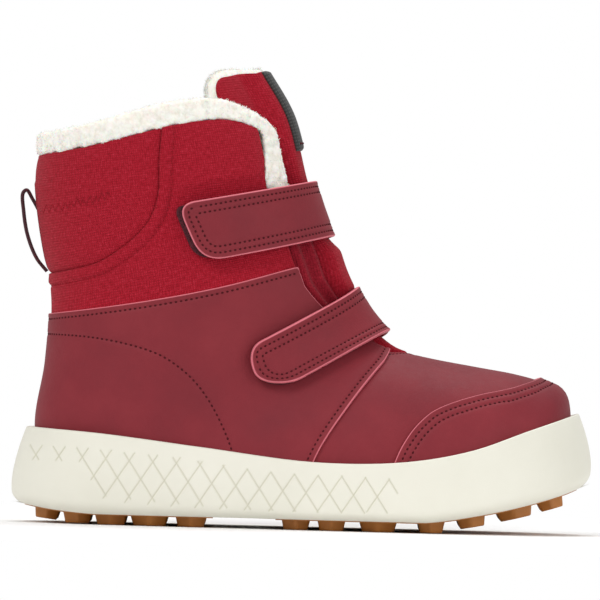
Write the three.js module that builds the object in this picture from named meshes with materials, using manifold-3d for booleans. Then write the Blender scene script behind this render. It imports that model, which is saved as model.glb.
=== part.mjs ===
// A child's winter boot for the right foot: a rubber cup sole with gum treads, a leather and
// textile upper over a fleece lining, a padded tongue and two hook-and-loop straps.
// Millimetres. +X runs heel to toe, +Y to the wearer's left (the medial side), +Z up, and the origin
// is on the ground under the middle of the sole.
import * as THREE from "three";
import { mergeVertices } from "three/addons/utils/BufferGeometryUtils.js";
import Module from "manifold-3d";

const wasm = await Module();
wasm.setup();

// ---- Overall sizes -------------------------------------------------------------------------
const BOOT_LENGTH = 200;
const BOOT_WIDTH = 82;
const BOOT_HEIGHT = 157;

// ---- Material thicknesses ------------------------------------------------------------------
const GAP = 0.3; // clearance between neighbouring pieces
const PANEL = 1.2; // vamp leather and shaft textile
const OVERLAY = 1.2; // quarters and toe cap, which lie on the panels
const STIFFENER = 1.0; // heel counter and toe puff
const FLEECE = 4.2;
const TONGUE_FABRIC = 1.2;
const TONGUE_FLEECE = 3.6;
const PILE_PATCH = 0.8; // loop side of the fastening
const HOOK_PATCH = 0.8;
const STRAP = 1.6;
const BOARD = 1.8;
const FOOTBED = 5;

// ---- Sole ----------------------------------------------------------------------------------
const LUG_HEIGHT = 3.6;
const LUG_TAPER = 0.8; // foot of a lug against its root
const TREAD_PLATE = 1.6;
const TREAD_MARGIN = 4.4; // from the sole's edge to the tread plate
const EDGE_LUG_INSET = 5; // from the sole's edge to the outer row of lugs
const CUP_LIP = 1.4; // how far the side wall leans in at its top edge
const CUP_LIP_ENDS = 3.2; // extra lean round the heel and the toe
const CUP_FOOT_ROUND = 3;

// ---- Fastenings ----------------------------------------------------------------------------
const STRAP_WIDTH = 20.9;
const STRAP_HINGE_ANGLE = 52; // degrees round the medial side where a strap leaves its anchor
const ANCHOR_SPAN = 30; // degrees that the sewn end covers
const HINGE_SLIT = 0.6;
const UPPER_REACH = 45; // from the front of the shaft back to a strap's tip
const LOWER_REACH = 43.4;
const TIP_CORNER_TOP = 3.5;
const TIP_CORNER_LOW = 8.5;
const TIP_SKEW = 0.2; // how far the tip slants back from its upper corner, for each mm of width
const HOOK_LENGTH = 30;
const PILE_LENGTH = 44;
const PATCH_MARGIN = 2.5;
const PATCH_SEAT = 0.45; // from the panel to the patch sewn on it
const PULL_LOOP_WIDTH = 8;
const PULL_LOOP_THICK = 0.9;
const TAB_WIDTH = 14;
const TAB_THICK = 1.3;

// ---- Offsets of each layer's faces from the last, worked out from the thicknesses ------------
const panelOut = PANEL;
const overlayIn = panelOut + GAP;
const overlayOut = overlayIn + OVERLAY;
const stiffenerOut = -GAP;
const stiffenerIn = stiffenerOut - STIFFENER;
const liningOut = stiffenerIn - GAP;
const liningIn = liningOut - FLEECE;
const WING_GAP = 0.8; // the tongue's wings slide on the lining
const tongueSunk = liningIn - WING_GAP; // outer face of the tongue's wings, inside the lining

// ---- Grading: patterns are drawn for the base size and scaled to the overall sizes -----------
const gx = (x) => (x * BOOT_LENGTH) / 200;
const gy = (y) => (y * BOOT_WIDTH) / 82;
const gz = (z) => (z * BOOT_HEIGHT) / 157;
const degrees = (d) => (d * Math.PI) / 180;

// A smooth function of x through a few points.
function profile(points) {
  const curve = new THREE.CatmullRomCurve3(
    points.map(([x, z]) => new THREE.Vector3(x, 0, z)),
  );
  const table = curve.getPoints(points.length * 8);
  return (x) => {
    if (x <= table[0].x) return table[0].z;
    for (let i = 1; i < table.length; i++) {
      if (x <= table[i].x) {
        const share = (x - table[i - 1].x) / (table[i].x - table[i - 1].x);
        return table[i - 1].z + share * (table[i].z - table[i - 1].z);
      }
    }
    return table[table.length - 1].z;
  };
}

const graded = (points) => points.map(([x, z]) => [gx(x), gz(z)]);

// Side-view heights along the sole.
const soleTop = profile(
  graded([[-100, 32.8], [-70, 31], [-35, 27.2], [5, 23], [35, 23.8], [58, 28.2], [78, 35.6], [100, 43.4]]),
);
const soleCurve = profile(
  graded([[-100, 7], [-84, 4.6], [-66, 3.4], [0, 3], [42, 3.5], [62, 6.6], [76, 9.8], [90, 14], [100, 18]]),
);
const soleBottom = (x) => Math.max(soleCurve(x), LUG_HEIGHT);
const boardBottom = profile(
  graded([[-100, 17], [-60, 16.6], [-10, 15.6], [40, 15.6], [60, 17], [76, 20], [92, 24.5], [100, 27]]),
);

// ---- The last: a fan of oval sections from the top of the shaft round the heel to the toe ----
// front and back are the section's ends in the side view, half its greatest half-width, wide the
// share of its height where that lies, top and low the squareness above and below, and shift
// moves it sideways towards the big toe.
const section = (front, back, half, wide, top, low, shift) => ({ front, back, half, wide, top, low, shift });
const SECTIONS = [
  section([-17.5, 157], [-94, 147], 32, 0.5, 2.1, 2.1, 0),
  section([-8.2, 141.5], [-92.8, 130], 33, 0.5, 2.1, 2.1, 0),
  section([-2.8, 123], [-91, 110], 33.5, 0.5, 2.1, 2.1, 0),
  section([1.2, 110], [-88.3, 92], 33, 0.5, 2.1, 2.1, 0),
  section([6.5, 97], [-86.2, 75.5], 32, 0.5, 2.1, 2.1, 0),
  section([10, 87.5], [-87, 55], 31, 0.5, 2.1, 2.1, 0),
  section([13.5, 80.5], [-89.8, 32.5], 30, 0.46, 2.1, 2.2, 0),
  section([18.5, 72.5], [-85, 15], 29.5, 0.42, 2.0, 2.4, 0),
  section([24.5, 66], [-60, 13.5], 30, 0.36, 2.0, 2.6, 0),
  section([31, 61.5], [-28, 13], 31.5, 0.3, 2.0, 2.8, -0.5),
  section([37, 59.8], [-2, 12.5], 33, 0.26, 2.0, 2.8, -0.7),
  section([45, 58.2], [18, 12.5], 34.2, 0.22, 2.0, 2.8, -0.3),
  section([60, 55.8], [42, 12.5], 34.6, 0.2, 2.05, 2.8, 0.8),
  section([73, 53.7], [54, 13.5], 33, 0.18, 2.1, 2.8, 2),
  section([82, 51.3], [61, 14], 30.2, 0.16, 2.15, 2.8, 3),
  section([88, 48.2], [65, 14.8], 28.8, 0.14, 2.2, 2.8, 3.8),
  section([89.8, 42], [67.5, 15.4], 27, 0.12, 2.2, 2.8, 4.2),
  section([89.4, 34.5], [70, 16], 25.5, 0.1, 2.2, 2.8, 4.2),
  section([88.4, 27.5], [72, 16.6], 24, 0.1, 2.2, 2.8, 4.2),
  section([85, 22], [74, 17.4], 21, 0.1, 2.2, 2.8, 4.2),
];
const LAST_SECTION = SECTIONS.length - 1;

const throughSections = (read) => new THREE.CatmullRomCurve3(SECTIONS.map((s) => new THREE.Vector3(...read(s))));
const frontLine = throughSections((s) => [gx(s.front[0]), 0, gz(s.front[1])]);
const backLine = throughSections((s) => [gx(s.back[0]), 0, gz(s.back[1])]);
const breadth = throughSections((s) => [gy(s.half), s.wide, gy(s.shift)]);
const squareness = throughSections((s) => [s.top, s.low, 0]);

// A point of the last. at is a section number, and angle runs from 0 on the front and top ridge
// through 90 degrees at the widest to 180 at the back and underneath: positive medial.
function lastPoint(at, angle) {
  const t = THREE.MathUtils.clamp(at / LAST_SECTION, 0, 1);
  const front = frontLine.getPoint(t);
  const back = backLine.getPoint(t);
  const { x: half, y: wide, z: shift } = breadth.getPoint(t);
  const { x: top, y: low } = squareness.getPoint(t);
  const c = Math.cos(angle);
  const s = Math.sin(angle);
  const power = c >= 0 ? top : low;
  const rise = Math.pow(Math.abs(c), 2 / power);
  const height = c >= 0 ? wide + (1 - wide) * rise : wide - wide * rise;
  const side = Math.sign(s) * Math.pow(Math.abs(s), 2 / power) * half;
  return back.lerp(front, height).setY(side + shift);
}

const STEP_AT = 0.04;
const STEP_ANGLE = 0.04;
function lastNormal(at, angle) {
  const low = Math.max(0, at - STEP_AT);
  const high = Math.min(LAST_SECTION, at + STEP_AT);
  const along = lastPoint(high, angle).sub(lastPoint(low, angle));
  const round = lastPoint(at, angle + STEP_ANGLE).sub(lastPoint(at, angle - STEP_ANGLE));
  return along.cross(round).normalize();
}

const onLast = (at, angle, offset) => lastPoint(at, angle).addScaledVector(lastNormal(at, angle), offset);

// How far the last moves, in millimetres, for one section at this place.
const speedAlong = (at, angle) =>
  lastPoint(at + STEP_AT, angle).distanceTo(lastPoint(at - STEP_AT, angle)) / (2 * STEP_AT);

// The angle at which a section lies a given distance back from its front, in the side view.
function angleBack(at, distance) {
  const front = lastPoint(at, 0);
  let low = 0;
  let high = Math.PI / 2;
  for (let i = 0; i < 24; i++) {
    const middle = (low + high) / 2;
    const point = lastPoint(at, middle);
    if (Math.hypot(point.x - front.x, point.z - front.z) < distance) low = middle;
    else high = middle;
  }
  return low;
}

// ---- Solids --------------------------------------------------------------------------------
// A closed solid from a geometry, facing out, with its shared corners merged.
function solid(geometry) {
  const bare = new THREE.BufferGeometry().setAttribute("position", geometry.getAttribute("position"));
  if (geometry.index) bare.setIndex(geometry.index);
  const merged = mergeVertices(bare, 1e-4);
  const vertProperties = new Float32Array(merged.attributes.position.array);
  const triVerts = new Uint32Array(merged.index.array);
  const build = () => new wasm.Manifold(new wasm.Mesh({ numProp: 3, vertProperties, triVerts }));
  const made = build();
  if (made.volume() > 0) return made;
  triVerts.reverse();
  return build();
}

function geometryOf(made) {
  const mesh = made.getMesh();
  return new THREE.BufferGeometry()
    .setAttribute("position", new THREE.BufferAttribute(new Float32Array(mesh.vertProperties), 3))
    .setIndex(new THREE.BufferAttribute(new Uint32Array(mesh.triVerts), 1));
}

// Indexed triangles from a list of points and quads.
function fromQuads(points, quads, triangles = []) {
  const index = [];
  for (const [a, b, c, d] of quads) index.push(a, b, c, a, c, d);
  for (const triangle of triangles) index.push(...triangle);
  return new THREE.BufferGeometry()
    .setAttribute("position", new THREE.Float32BufferAttribute(points.flatMap((p) => [p.x, p.y, p.z]), 3))
    .setIndex(index);
}

const ROWS = LAST_SECTION; // along the last
const COLUMNS = 20; // round the last
const rowAt = (row) => (row * LAST_SECTION) / ROWS;

// One ring of the last at an offset.
function ring(at, offset) {
  const points = [];
  for (let c = 0; c < COLUMNS; c++) points.push(onLast(at, (c * 2 * Math.PI) / COLUMNS, offset));
  return points;
}

function tubeQuads(rows, start) {
  const quads = [];
  for (let r = 0; r < rows; r++)
    for (let c = 0; c < COLUMNS; c++) {
      const next = (c + 1) % COLUMNS;
      const here = start + r * COLUMNS;
      quads.push([here + c, here + COLUMNS + c, here + COLUMNS + next, here + next]);
    }
  return quads;
}

// The skin between two offsets of the last, open at the top of the shaft and under the toe.
function skin(inner, outer) {
  const points = [];
  for (let r = 0; r <= ROWS; r++) points.push(...ring(rowAt(r), outer));
  const second = points.length;
  for (let r = 0; r <= ROWS; r++) points.push(...ring(rowAt(r), inner));
  const quads = tubeQuads(ROWS, 0);
  for (const [a, b, c, d] of tubeQuads(ROWS, second)) quads.push([a, d, c, b]);
  const last = ROWS * COLUMNS;
  for (let c = 0; c < COLUMNS; c++) {
    const next = (c + 1) % COLUMNS;
    quads.push([c, next, second + next, second + c]);
    quads.push([last + c, second + last + c, second + last + next, last + next]);
  }
  return solid(fromQuads(points, quads));
}

// The last itself, grown by an offset, as one full body.
function body(offset) {
  const points = [];
  for (let r = 0; r <= ROWS; r++) points.push(...ring(rowAt(r), offset));
  const last = ROWS * COLUMNS;
  const middle = (start) => {
    const centre = new THREE.Vector3();
    for (let c = 0; c < COLUMNS; c++) centre.add(points[start + c]);
    return centre.divideScalar(COLUMNS);
  };
  const topCentre = points.push(middle(0)) - 1;
  const endCentre = points.push(middle(last)) - 1;
  const triangles = [];
  for (let c = 0; c < COLUMNS; c++) {
    const next = (c + 1) % COLUMNS;
    triangles.push([topCentre, c, next], [endCentre, last + next, last + c]);
  }
  return solid(fromQuads(points, tubeQuads(ROWS, 0), triangles));
}

const REACH_Y = BOOT_WIDTH; // wide enough to pass through everything
const OUTLINE_STEPS = 2;

// A cutter that is a side-view outline run across the boot, from y0 to y1.
function sideCutter(points, y0 = -REACH_Y, y1 = REACH_Y) {
  const shape = new THREE.Shape(points.map(([x, z]) => new THREE.Vector2(x, z)));
  const geometry = new THREE.ExtrudeGeometry(shape, { depth: y1 - y0, bevelEnabled: false });
  return solid(geometry.rotateX(Math.PI / 2).translate(0, y1, 0));
}

// A smooth run of side-view points through a few of the base size's pattern points.
function smooth(points) {
  const curve = new THREE.SplineCurve(graded(points).map(([x, z]) => new THREE.Vector2(x, z)));
  return curve.getPoints((points.length - 1) * OUTLINE_STEPS).map((p) => [p.x, p.y]);
}

// The side-view band between two heights along the whole boot.
function band(low, high) {
  const stations = [];
  for (let x = -110; x <= 110; x += 20) stations.push(gx(x));
  return [...stations.map((x) => [x, low(x)]), ...stations.reverse().map((x) => [x, high(x)])];
}

const LATERAL = [-REACH_Y, -GAP / 2];
const MEDIAL = [GAP / 2, REACH_Y];

// ---- Seam and edge lines of the upper, drawn in the side view of the base size ---------------
const COLLAR_EDGE = [[-100, 124.5], [-92, 126.5], [-76, 129.6], [-60, 134], [-46, 137.8], [-31, 139.9], [-22, 138.4],
  [-17, 135.8], [-16, 131]];
const FLAP_EDGE = [[-16, 131], [-15.2, 118], [-10.5, 107], [-6.5, 97], [-3, 86], [2, 74]];
const RIM_EDGE = [[-104, 131.5], [-92.5, 133.4], [-74, 137.4], [-54, 143.8], [-38, 146.6], [-25, 145], [-15, 139.2],
  [-9.6, 131], [-8, 120], [-5, 108]];
const QUARTER_TOP = [[-104, 70], [-88, 71.7], [-57, 76.8], [-30, 82.6], [-5.7, 89.6], [-2, 90], [0.4, 87.6]];
const QUARTER_THROAT = [[0.4, 87.6], [5, 80.5], [12, 74], [20, 69], [26.4, 65.4], [28.6, 61], [27.2, 56.9]];
const QUARTER_FRONT = [[27.2, 56.9], [21, 49.2], [14.7, 40.7], [8.3, 31.3], [4.2, 23.5], [-2, 8]];
const COLLAR_SEAM = [[-50.4, 142], [-51.4, 127], [-51.6, 113], [-55.7, 102.8], [-65, 94], [-76, 88.4], [-104, 83]];
const COUNTER_LINE = [[-104, 64.5], [-74.5, 64.4], [-55, 60.8], [-44, 55.6], [-34, 45.6], [-24, 27], [-20, 8]];
const TOE_CAP_LINE = [[28, 10], [31.8, 24.2], [36.1, 32.5], [41.2, 38.3], [46.9, 42], [58.5, 45.9], [71.6, 48.8],
  [83.4, 53.4], [88, 62]];
const LAP = 7; // how far one panel runs under the next
const FOAM_MARGIN = 2; // from the padding's edge to the textile's edge

const backAndBelow = [[gx(-110), gz(-10)]];
const aheadAndBelow = [[gx(110), gz(-10)]];
const shifted = (points, dx, dz) => points.map(([x, z]) => [x + dx, z + dz]);

// ---- The opening in which the tongue lies ----------------------------------------------------
// Degrees round from the front ridge to the textile's edge, for each section from the top.
const OPENING = [44, 44, 44, 44, 44, 42, 34, 27, 21, 14];
const THROAT_END = OPENING.length - 0.2; // the section at which the opening closes
const LINING_SHARE = 0.68; // the lining and its rim reach further forward than the textile

function openingAngle(at) {
  if (at >= THROAT_END) return 0;
  const low = Math.floor(at);
  const closing = low + 1 >= OPENING.length;
  const share = closing ? (at - low) / (THROAT_END - low) : at - low;
  return degrees(THREE.MathUtils.lerp(OPENING[low], closing ? 0 : OPENING[low + 1], share));
}

const liningOpening = (at) => openingAngle(at) * LINING_SHARE;

// A closed patch of the last between two section functions and two angles, with faces at the
// offsets that the two functions of place give.
function patch({ rows, columns, place, inner, outer }) {
  const points = [];
  const at = (r, c, offset) => {
    const spot = place(r / rows, c / columns);
    return onLast(spot.at, spot.angle, offset(spot));
  };
  for (const offset of [outer, inner])
    for (let r = 0; r <= rows; r++) for (let c = 0; c <= columns; c++) points.push(at(r, c, offset));
  const width = columns + 1;
  const second = (rows + 1) * width;
  const quads = [];
  for (let r = 0; r < rows; r++)
    for (let c = 0; c < columns; c++) {
      const corner = r * width + c;
      quads.push([corner, corner + width, corner + width + 1, corner + 1]);
      quads.push([second + corner, second + corner + 1, second + corner + width + 1, second + corner + width]);
    }
  for (let c = 0; c < columns; c++) {
    const end = rows * width + c;
    quads.push([c, c + 1, second + c + 1, second + c]);
    quads.push([end, second + end, second + end + 1, end + 1]);
  }
  for (let r = 0; r < rows; r++) {
    const left = r * width;
    const right = left + columns;
    quads.push([left, second + left, second + left + width, left + width]);
    quads.push([right, right + width, second + right + width, second + right]);
  }
  return solid(fromQuads(points, quads));
}

const constant = (value) => () => value;

// Everything within an opening's angle, for cutting the layers round the tongue.
function throatCutter(halfAngle) {
  return patch({
    rows: 2 * OPENING.length,
    columns: 6,
    place: (r, c) => {
      const at = r * THROAT_END;
      return { at, angle: Math.max(halfAngle(at), 0.005) * (2 * c - 1) };
    },
    inner: constant(liningIn - 2),
    outer: constant(overlayOut + 3),
  });
}

const panelThroat = throatCutter(openingAngle);
const liningThroat = throatCutter(liningOpening);

// ---- Layers of the upper ---------------------------------------------------------------------
const panelSkin = skin(0, panelOut);
const overlaySkin = skin(overlayIn, overlayOut);
const stiffenerSkin = skin(stiffenerIn, stiffenerOut);
const liningSkin = skin(liningIn, liningOut);
const rimSkin = skin(liningIn, panelOut);

const upperFoot = (x) => boardBottom(x) + BOARD + GAP; // where every layer ends above the board
const underneath = sideCutter(band(() => gz(-20), upperFoot));

const ahead = gx(120);
const behind = gx(-120);
const sky = gz(220);

function vamp() {
  const rear = shifted(smooth(QUARTER_FRONT), -LAP, LAP * 0.6).reverse();
  const region = [...rear, [gx(22), gz(61.4)], [gx(44), gz(61.4)], [gx(46), gz(72)], [ahead, gz(72)], [ahead, gz(-10)]];
  return panelSkin.intersect(sideCutter(region)).subtract(panelThroat).subtract(underneath);
}

function toeCap() {
  const region = [...smooth(TOE_CAP_LINE), [ahead, gz(62)], [ahead, gz(-10)]];
  return overlaySkin.intersect(sideCutter(region)).subtract(underneath);
}

function toePuff() {
  const region = [...shifted(smooth(TOE_CAP_LINE), LAP * 0.6, -LAP * 0.3), [ahead, gz(62)], [ahead, gz(-10)]];
  return stiffenerSkin.intersect(sideCutter(region)).subtract(underneath);
}

function quarter(side) {
  const region = [...smooth(QUARTER_TOP), ...smooth(QUARTER_THROAT).slice(1), ...smooth(QUARTER_FRONT).slice(1),
    ...backAndBelow];
  return overlaySkin.intersect(sideCutter(region, ...side)).subtract(panelThroat).subtract(underneath);
}

function heelCounter() {
  return stiffenerSkin.intersect(sideCutter([...smooth(COUNTER_LINE), ...backAndBelow])).subtract(underneath);
}

const collarCutter = sideCutter([...smooth(COLLAR_EDGE), ...smooth(FLAP_EDGE).slice(1), ...backAndBelow]);

// Everything behind the collar's seam, drawn in by a distance.
function behindSeam(inset) {
  const seam = shifted(smooth(COLLAR_SEAM), -inset, inset);
  return sideCutter([...seam, [behind, seam[seam.length - 1][1]], [behind, sky], [seam[0][0], sky]]);
}

function shaftPanel(side) {
  const lower = sideCutter([...shifted(smooth(QUARTER_TOP), 0, -LAP), [ahead, gz(80)], [ahead, sky], [behind, sky]], ...side);
  return panelSkin.intersect(collarCutter).intersect(lower).subtract(behindSeam(0)).subtract(panelThroat);
}

// The padding under the textile, down to the top of the quarters.
function shaftFoam() {
  const above = sideCutter([...shifted(smooth(QUARTER_TOP), 0, FOAM_MARGIN), [ahead, gz(92)], [ahead, sky], [behind, sky]]);
  const inset = shifted([...smooth(COLLAR_EDGE), ...smooth(FLAP_EDGE).slice(1)], -FOAM_MARGIN, -FOAM_MARGIN);
  return stiffenerSkin.intersect(above).intersect(sideCutter([...inset, ...backAndBelow])).subtract(panelThroat);
}

function collarRear() {
  return panelSkin.intersect(collarCutter).intersect(behindSeam(GAP));
}

const RIM_END = 3; // how many points of the flap's edge the pile rim runs down

// The lining's top edge follows the collar, and the pile rim stands above and ahead of it.
function lining() {
  const edge = shifted(smooth([...COLLAR_EDGE, ...FLAP_EDGE.slice(1, RIM_END)]), 0, -GAP);
  const region = [...edge, [ahead, edge[edge.length - 1][1]], [ahead, gz(-10)], [behind, gz(-10)]];
  return liningSkin.intersect(sideCutter(region)).subtract(liningThroat).subtract(underneath);
}

function collarRim() {
  const inner = shifted(smooth([...COLLAR_EDGE, ...FLAP_EDGE.slice(1, RIM_END)]), GAP, GAP);
  return rimSkin.intersect(sideCutter([...inner, ...smooth(RIM_EDGE).reverse()])).subtract(liningThroat);
}

// ---- Sole unit -------------------------------------------------------------------------------
// The sole's outline seen from below at its widest, anticlockwise from the heel's back.
const OUTLINE = [[-100, 0], [-97, -13.5], [-88, -26], [-72, -33.4], [-48, -36], [-18, -37], [10, -39.4], [32, -41],
  [54, -39.4], [74, -32.6], [89, -22], [97.7, -7.5], [100, 6], [97.2, 19], [87.4, 31.2], [70, 39.4], [50, 41], [30, 39.4],
  [6, 37], [-20, 35.2], [-48, 34.6], [-72, 32.6], [-88, 25.6], [-97, 13]];
const OUTLINE_POINTS = 48;
const outline = new THREE.CatmullRomCurve3(
  OUTLINE.map(([x, y]) => new THREE.Vector3(gx(x), gy(y), 0)),
  true,
);

// A ring of the sole's outline drawn in by a distance that may depend on the outward direction.
function soleRing(inset, height) {
  const points = [];
  for (let i = 0; i < OUTLINE_POINTS; i++) {
    const t = i / OUTLINE_POINTS;
    const point = outline.getPoint(t);
    const tangent = outline.getTangent(t);
    const outward = new THREE.Vector3(tangent.y, -tangent.x, 0);
    point.addScaledVector(outward, -inset(outward)).setZ(height(point.x));
    points.push(point);
  }
  return points;
}

// A closed body stacked from rings, with caps drawn in to the sole's centre line.
function stack(rings) {
  const points = rings.flat();
  const quads = [];
  const count = OUTLINE_POINTS;
  for (let r = 0; r + 1 < rings.length; r++)
    for (let i = 0; i < count; i++) {
      const next = (i + 1) % count;
      quads.push([r * count + i, r * count + next, (r + 1) * count + next, (r + 1) * count + i]);
    }
  const spine = (start) => {
    const first = points.length;
    for (let i = 0; i < count; i++) {
      const p = points[start + i];
      const opposite = points[start + ((count - i) % count)];
      points.push(new THREE.Vector3((p.x + opposite.x) / 2, (p.y + opposite.y) / 2, (p.z + opposite.z) / 2));
    }
    return first;
  };
  const top = (rings.length - 1) * count;
  const spines = [spine(0), spine(top)];
  for (let i = 0; i < count; i++) {
    const next = (i + 1) % count;
    quads.push([next, i, spines[0] + i, spines[0] + next]);
    quads.push([top + i, top + next, spines[1] + next, spines[1] + i]);
  }
  return solid(fromQuads(points, quads).toNonIndexed());
}

const lean = (outward) => CUP_LIP + CUP_LIP_ENDS * outward.x * outward.x;
const between = (low, high, share) => (x) => THREE.MathUtils.lerp(low(x), high(x), share);

function cupBlock() {
  // height share, share of the foot's round, share of the lip's lean
  const levels = [[0, 1, 0], [0.07, 0.3, 0], [0.25, 0, 0], [0.6, 0, 0.3], [1, 0, 1]];
  return stack(
    levels.map(([share, round, tilt]) =>
      soleRing((outward) => round * CUP_FOOT_ROUND + tilt * lean(outward), between(soleBottom, soleTop, share)),
    ),
  );
}

function treadSlab(margin, low, high) {
  return stack([soleRing(() => margin, low), soleRing(() => margin, high)]);
}

const treadTop = (x) => soleBottom(x) + TREAD_PLATE;
const HEEL_TREAD = [-96, -30];
const FOREFOOT_TREAD = [-8.5, 97];
const crossBand = ([from, to], grow) => {
  const [x0, x1] = [gx(from) - grow, gx(to) + grow];
  return sideCutter([[x0, gz(-10)], [x1, gz(-10)], [x1, gz(50)], [x0, gz(50)]]);
};

function treadRecess(span) {
  const slab = treadSlab(TREAD_MARGIN - GAP, (x) => soleBottom(x) - 2, (x) => treadTop(x) + GAP);
  return slab.intersect(crossBand(span, GAP));
}

function cupSole(cavity) {
  return cupBlock().subtract(cavity).subtract(treadRecess(HEEL_TREAD)).subtract(treadRecess(FOREFOOT_TREAD));
}

// The sole's edge on one side, at its nearest to the middle over a length of the sole.
function edgeAt(x, reach, side) {
  let nearest = side * BOOT_WIDTH;
  for (let i = 0; i < 400; i++) {
    const { x: along, y } = outline.getPoint(i / 400);
    if (Math.sign(y - gy(2)) !== side || Math.abs(along - x) > reach) continue;
    if (Math.abs(y) < Math.abs(nearest)) nearest = y;
  }
  return nearest;
}

// A six-sided lug that tapers to its foot, square to the sole's underside at its place.
function lug(x, y, radius) {
  const height = LUG_HEIGHT + TREAD_PLATE / 2;
  const geometry = new THREE.CylinderGeometry(radius, radius * LUG_TAPER, height, 6);
  const slope = (soleBottom(x + 4) - soleBottom(x - 4)) / 8;
  const tilt = Math.abs(slope) > 0.12 ? Math.atan(slope) : 0;
  geometry.rotateX(Math.PI / 2).translate(0, 0, -LUG_HEIGHT + height / 2);
  return solid(geometry.rotateY(-tilt).translate(x, y, soleBottom(x)));
}

// Rows of lugs: the place along the sole and half the lug's length there.
const HEEL_ROWS = [[-87, 4.4], [-76.5, 5], [-65, 5.6], [-51.8, 6.6], [-37.5, 5.4]];
const FOREFOOT_ROWS = [[-1.5, 5], [10.7, 4.9], [26.7, 6.6], [44.9, 4.6], [58.4, 5], [73.2, 6.4], [85.6, 4.6]];
const LUG_CROWDING = 2.5; // room for a lug across the sole, in radii

function tread(span, rows) {
  let made = treadSlab(TREAD_MARGIN, soleBottom, treadTop).intersect(crossBand(span, 0));
  for (const [along, size] of rows) {
    const radius = gx(size) / Math.cos(degrees(30));
    const x = gx(along);
    const [low, high] = [-1, 1].map((side) => edgeAt(x, radius, side) - side * (radius + EDGE_LUG_INSET));
    const inner = Math.max(1, Math.floor((high - low) / (LUG_CROWDING * radius)));
    for (let i = 0; i <= inner; i++) made = made.add(lug(x, THREE.MathUtils.lerp(low, high, i / inner), radius));
  }
  return made;
}

function insoleBoard() {
  const slab = band(boardBottom, (x) => boardBottom(x) + BOARD);
  return body(overlayOut).intersect(sideCutter(slab));
}

function soleFiller() {
  return body(overlayOut).intersect(sideCutter(band(() => gz(-20), (x) => boardBottom(x) - GAP)));
}

function footbed() {
  const low = (x) => upperFoot(x);
  return body(liningIn - WING_GAP).intersect(sideCutter(band(low, (x) => low(x) + FOOTBED)));
}

// ---- Tongue ----------------------------------------------------------------------------------
const TONGUE_WING = 50; // degrees round to the tongue's side edge
const TONGUE_PROUD = 1.4; // its face in the opening, above the last, from the upper strap down
const TONGUE_CROWN = 0.5;
const TONGUE_SWELL = [1.4, 3]; // section numbers between which it rises to that
const HINGE = [gx(8.6), gz(91.5)]; // where the tongue folds, in the side view
const TONGUE_END = 9.4;
const TILT_BACK = 12; // degrees that the tongue may fall into the empty shaft

// Places across half the tongue, as a share of the lining's opening, and how far the face has
// dropped there from proud to sunk. Beyond the last of them is the wing.
const TONGUE_SLOPE = [[0.42, 0], [0.66, 0.5], [0.9, 1]];

// The offset of the tongue's outer face from the last.
function tongueFace({ at, angle }) {
  const share = Math.abs(angle) / Math.max(liningOpening(at), 1e-3);
  const [[flat], , [sunk]] = TONGUE_SLOPE;
  const proud = TONGUE_PROUD * THREE.MathUtils.smoothstep(at, ...TONGUE_SWELL);
  if (share <= flat) return proud + TONGUE_CROWN * (1 - share / flat);
  return THREE.MathUtils.mapLinear(Math.min(share, sunk), flat, sunk, proud, tongueSunk);
}

function tongueAngles(at) {
  const slope = TONGUE_SLOPE.map(([share]) => share * liningOpening(at));
  const wing = degrees(TONGUE_WING);
  const side = [...slope, (slope[slope.length - 1] + wing) / 2, wing];
  return [...side.map((angle) => -angle).reverse(), 0, ...side];
}

function tongueLayer(outerDrop, innerDrop) {
  const columns = tongueAngles(0).length - 1;
  return patch({
    rows: 12,
    columns,
    place: (r, c) => ({ at: r * TONGUE_END, angle: tongueAngles(r * TONGUE_END)[Math.round(c * columns)] }),
    inner: (spot) => tongueFace(spot) - innerDrop,
    outer: (spot) => tongueFace(spot) - outerDrop,
  });
}

// Side-view regions above and below the fold, which open by the backward tilt.
function foldCutter(above) {
  const [x, z] = HINGE;
  const along = above ? degrees(180 - 1) : degrees(180 + TILT_BACK + 1);
  const far = gx(130);
  const backwards = [x + far * Math.cos(along), z + far * Math.sin(along)];
  const forwards = above ? [x + far, z] : [x + far, z - 0.2 * far];
  const lift = above ? sky : gz(-20);
  return sideCutter([backwards, [x, z + (above ? GAP : -GAP) / 2], forwards, [forwards[0], lift], [backwards[0], lift]]);
}

const throatFloor = sideCutter([[gx(60), gz(-10)], [gx(60), gz(30)], [gx(34), gz(56)], [gx(-60), gz(58)],
  [gx(-120), gz(58)], [gx(-120), gz(-10)]]);

const tongueFabric = tongueLayer(0, TONGUE_FABRIC);
const tongueFleece = tongueLayer(TONGUE_FABRIC + GAP, TONGUE_FABRIC + GAP + TONGUE_FLEECE);

const tongueUpper = (layer) => layer.intersect(foldCutter(true));
const tongueBase = (layer) => layer.intersect(foldCutter(false)).subtract(throatFloor);

// The textile that closes the space beside the tongue, on the lining between it and the flap.
const GUSSET = [4.2, 6.8];
const GUSSET_EDGE = degrees(1.6);

function gusset(side) {
  return patch({
    rows: 5,
    columns: 3,
    place: (r, c) => {
      const at = THREE.MathUtils.lerp(...GUSSET, r);
      return {
        at,
        angle: side * THREE.MathUtils.lerp(liningOpening(at) + GUSSET_EDGE, openingAngle(at) - GUSSET_EDGE, c),
      };
    },
    inner: constant(liningOut + GAP),
    outer: constant(liningOut + GAP + PANEL),
  });
}

const TAB_SPAN = [0.12, 1.54]; // section numbers between which the tab is sewn on the tongue

function pullTab() {
  const half = Math.asin(TAB_WIDTH / 2 / gy(33));
  return patch({
    rows: 4,
    columns: 4,
    place: (r, c) => ({ at: THREE.MathUtils.lerp(...TAB_SPAN, r), angle: half * (2 * c - 1) }),
    inner: (spot) => tongueFace(spot) + GAP,
    outer: (spot) => tongueFace(spot) + GAP + TAB_THICK,
  });
}

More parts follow.
